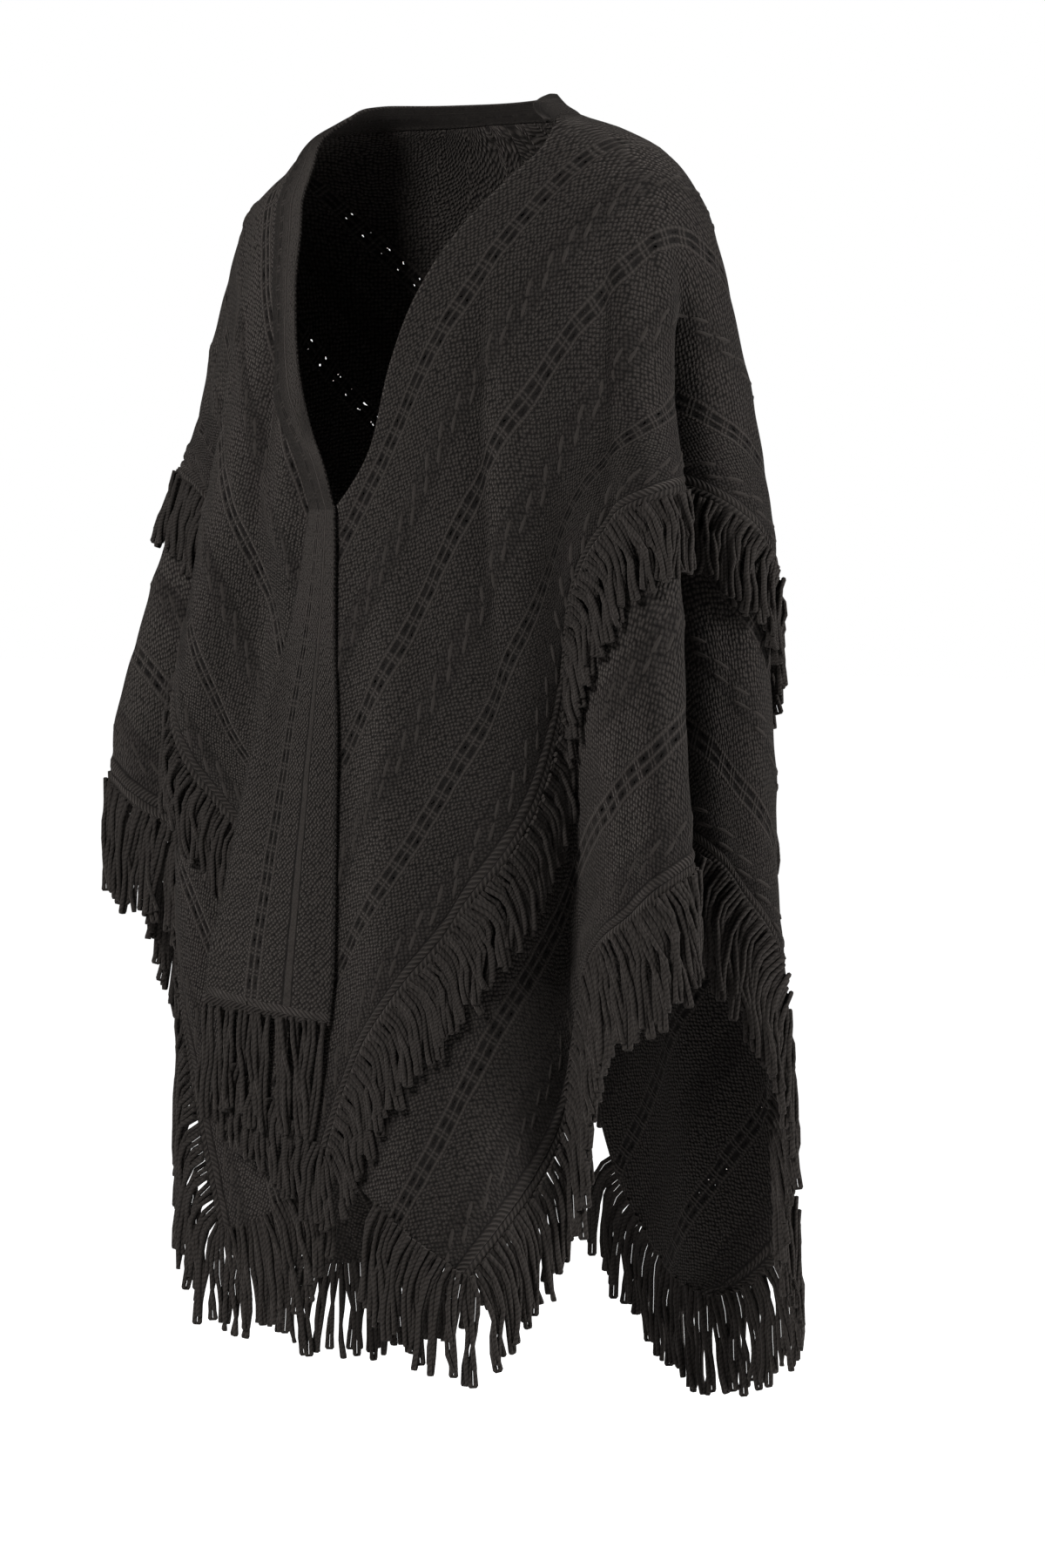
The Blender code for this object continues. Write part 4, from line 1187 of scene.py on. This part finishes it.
scarfAcross = np.linspace(0, 1, scarf["acrossRows"])
angle, drop, lift = scarfLines(scarfAcross)
points = lifted(angle, drop, lift)
along = measured(points)
wide = np.broadcast_to(scarfAcross * scarfBands["width"], angle.shape)
collar = layCloth("collarScarfKnit", points, along, wide, scarfWool)
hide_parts("collar_scarf")
tassels = hangFringe("scarfFringe", (angle[0], drop[0], lift[0]), 1, lambda a, d: drape["scarfLift"] + 0 * a,
                     fringe["scarfPitch"], fringe["lengths"]["scarf"], loop, fringeWool)
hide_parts("scarf_fringe")
print("cloth made")

studio = {
    "azimuth": 35, "elevation": 3, "distance": 4.0, "lens": 112, "sensor": 36,
    "pixelsPerMetre": 1400, "originPixel": (525, 150), "middlePixel": (600, 900),
    "floor": -1.5, "floorSize": 60, "white": (0.92, 0.92, 0.92, 1), "skyLight": 0.11,
    # steps from the middle of the view (right, nearer, up), then size and power
    "lights": {
        "key": ((-1.8, 2.8, 1.7), 0.8, 265),
        "side": ((2.7, 0.5, 0.8), 1.2, 185),
    },
}

azimuth, elevation = math.radians(studio["azimuth"]), math.radians(studio["elevation"])
level = math.cos(elevation)
back = Vector((math.sin(azimuth) * level, -math.cos(azimuth) * level, math.sin(elevation)))
right = Vector((math.cos(azimuth), math.sin(azimuth), 0))
up = back.cross(right)
shiftX = (studio["middlePixel"][0] - studio["originPixel"][0]) / studio["pixelsPerMetre"]
shiftY = (studio["middlePixel"][1] - studio["originPixel"][1]) / studio["pixelsPerMetre"]
target = right * shiftX - up * shiftY
bpy.ops.object.camera_add(location=target + back * studio["distance"])
camera = bpy.context.object
camera.rotation_euler = Matrix((right, up, back)).transposed().to_euler()
camera.data.lens = studio["lens"]
camera.data.sensor_width = studio["sensor"]
bpy.context.scene.camera = camera

for name, (steps, size, power) in studio["lights"].items():
    where = target + right * steps[0] + back * steps[1] + up * steps[2]
    bpy.ops.object.light_add(type="AREA", location=where)
    light = bpy.context.object
    light.name = name
    light.data.size = size
    light.data.energy = power
    light.rotation_euler = (target - where).to_track_quat("-Z", "Y").to_euler()

bpy.ops.mesh.primitive_plane_add(size=studio["floorSize"], location=(0, 0, studio["floor"]))
floor = bpy.context.object
floor.name = "studioFloor"
pale = bpy.data.materials.new("pale floor")
pale.use_nodes = True
# it looks as white as the backdrop without lighting the cloth from below
seen = addNode(pale.node_tree, "ShaderNodeLightPath", ["Is Camera Ray"], {})
fill(pale.node_tree, pale.node_tree.nodes["Principled BSDF"], {
    "Base Color": studio["white"], "Roughness": 0.9,
    "Emission Color": studio["white"], "Emission Strength": seen})
floor.data.materials.append(pale)

world = bpy.data.worlds.new("studio")
bpy.context.scene.world = world
world.use_nodes = True
# the backdrop is white, and gives less light than it seems to
seen = addNode(world.node_tree, "ShaderNodeLightPath", ["Is Camera Ray"], {})
strength = addNode(world.node_tree, "ShaderNodeMapRange", ["Result"], {
    "Value": seen, "To Min": studio["skyLight"], "To Max": 1.0})
fill(world.node_tree, world.node_tree.nodes["Background"], {"Color": (1, 1, 1, 1), "Strength": strength})
bpy.context.scene.view_settings.view_transform = "Standard"
print("studio lit")
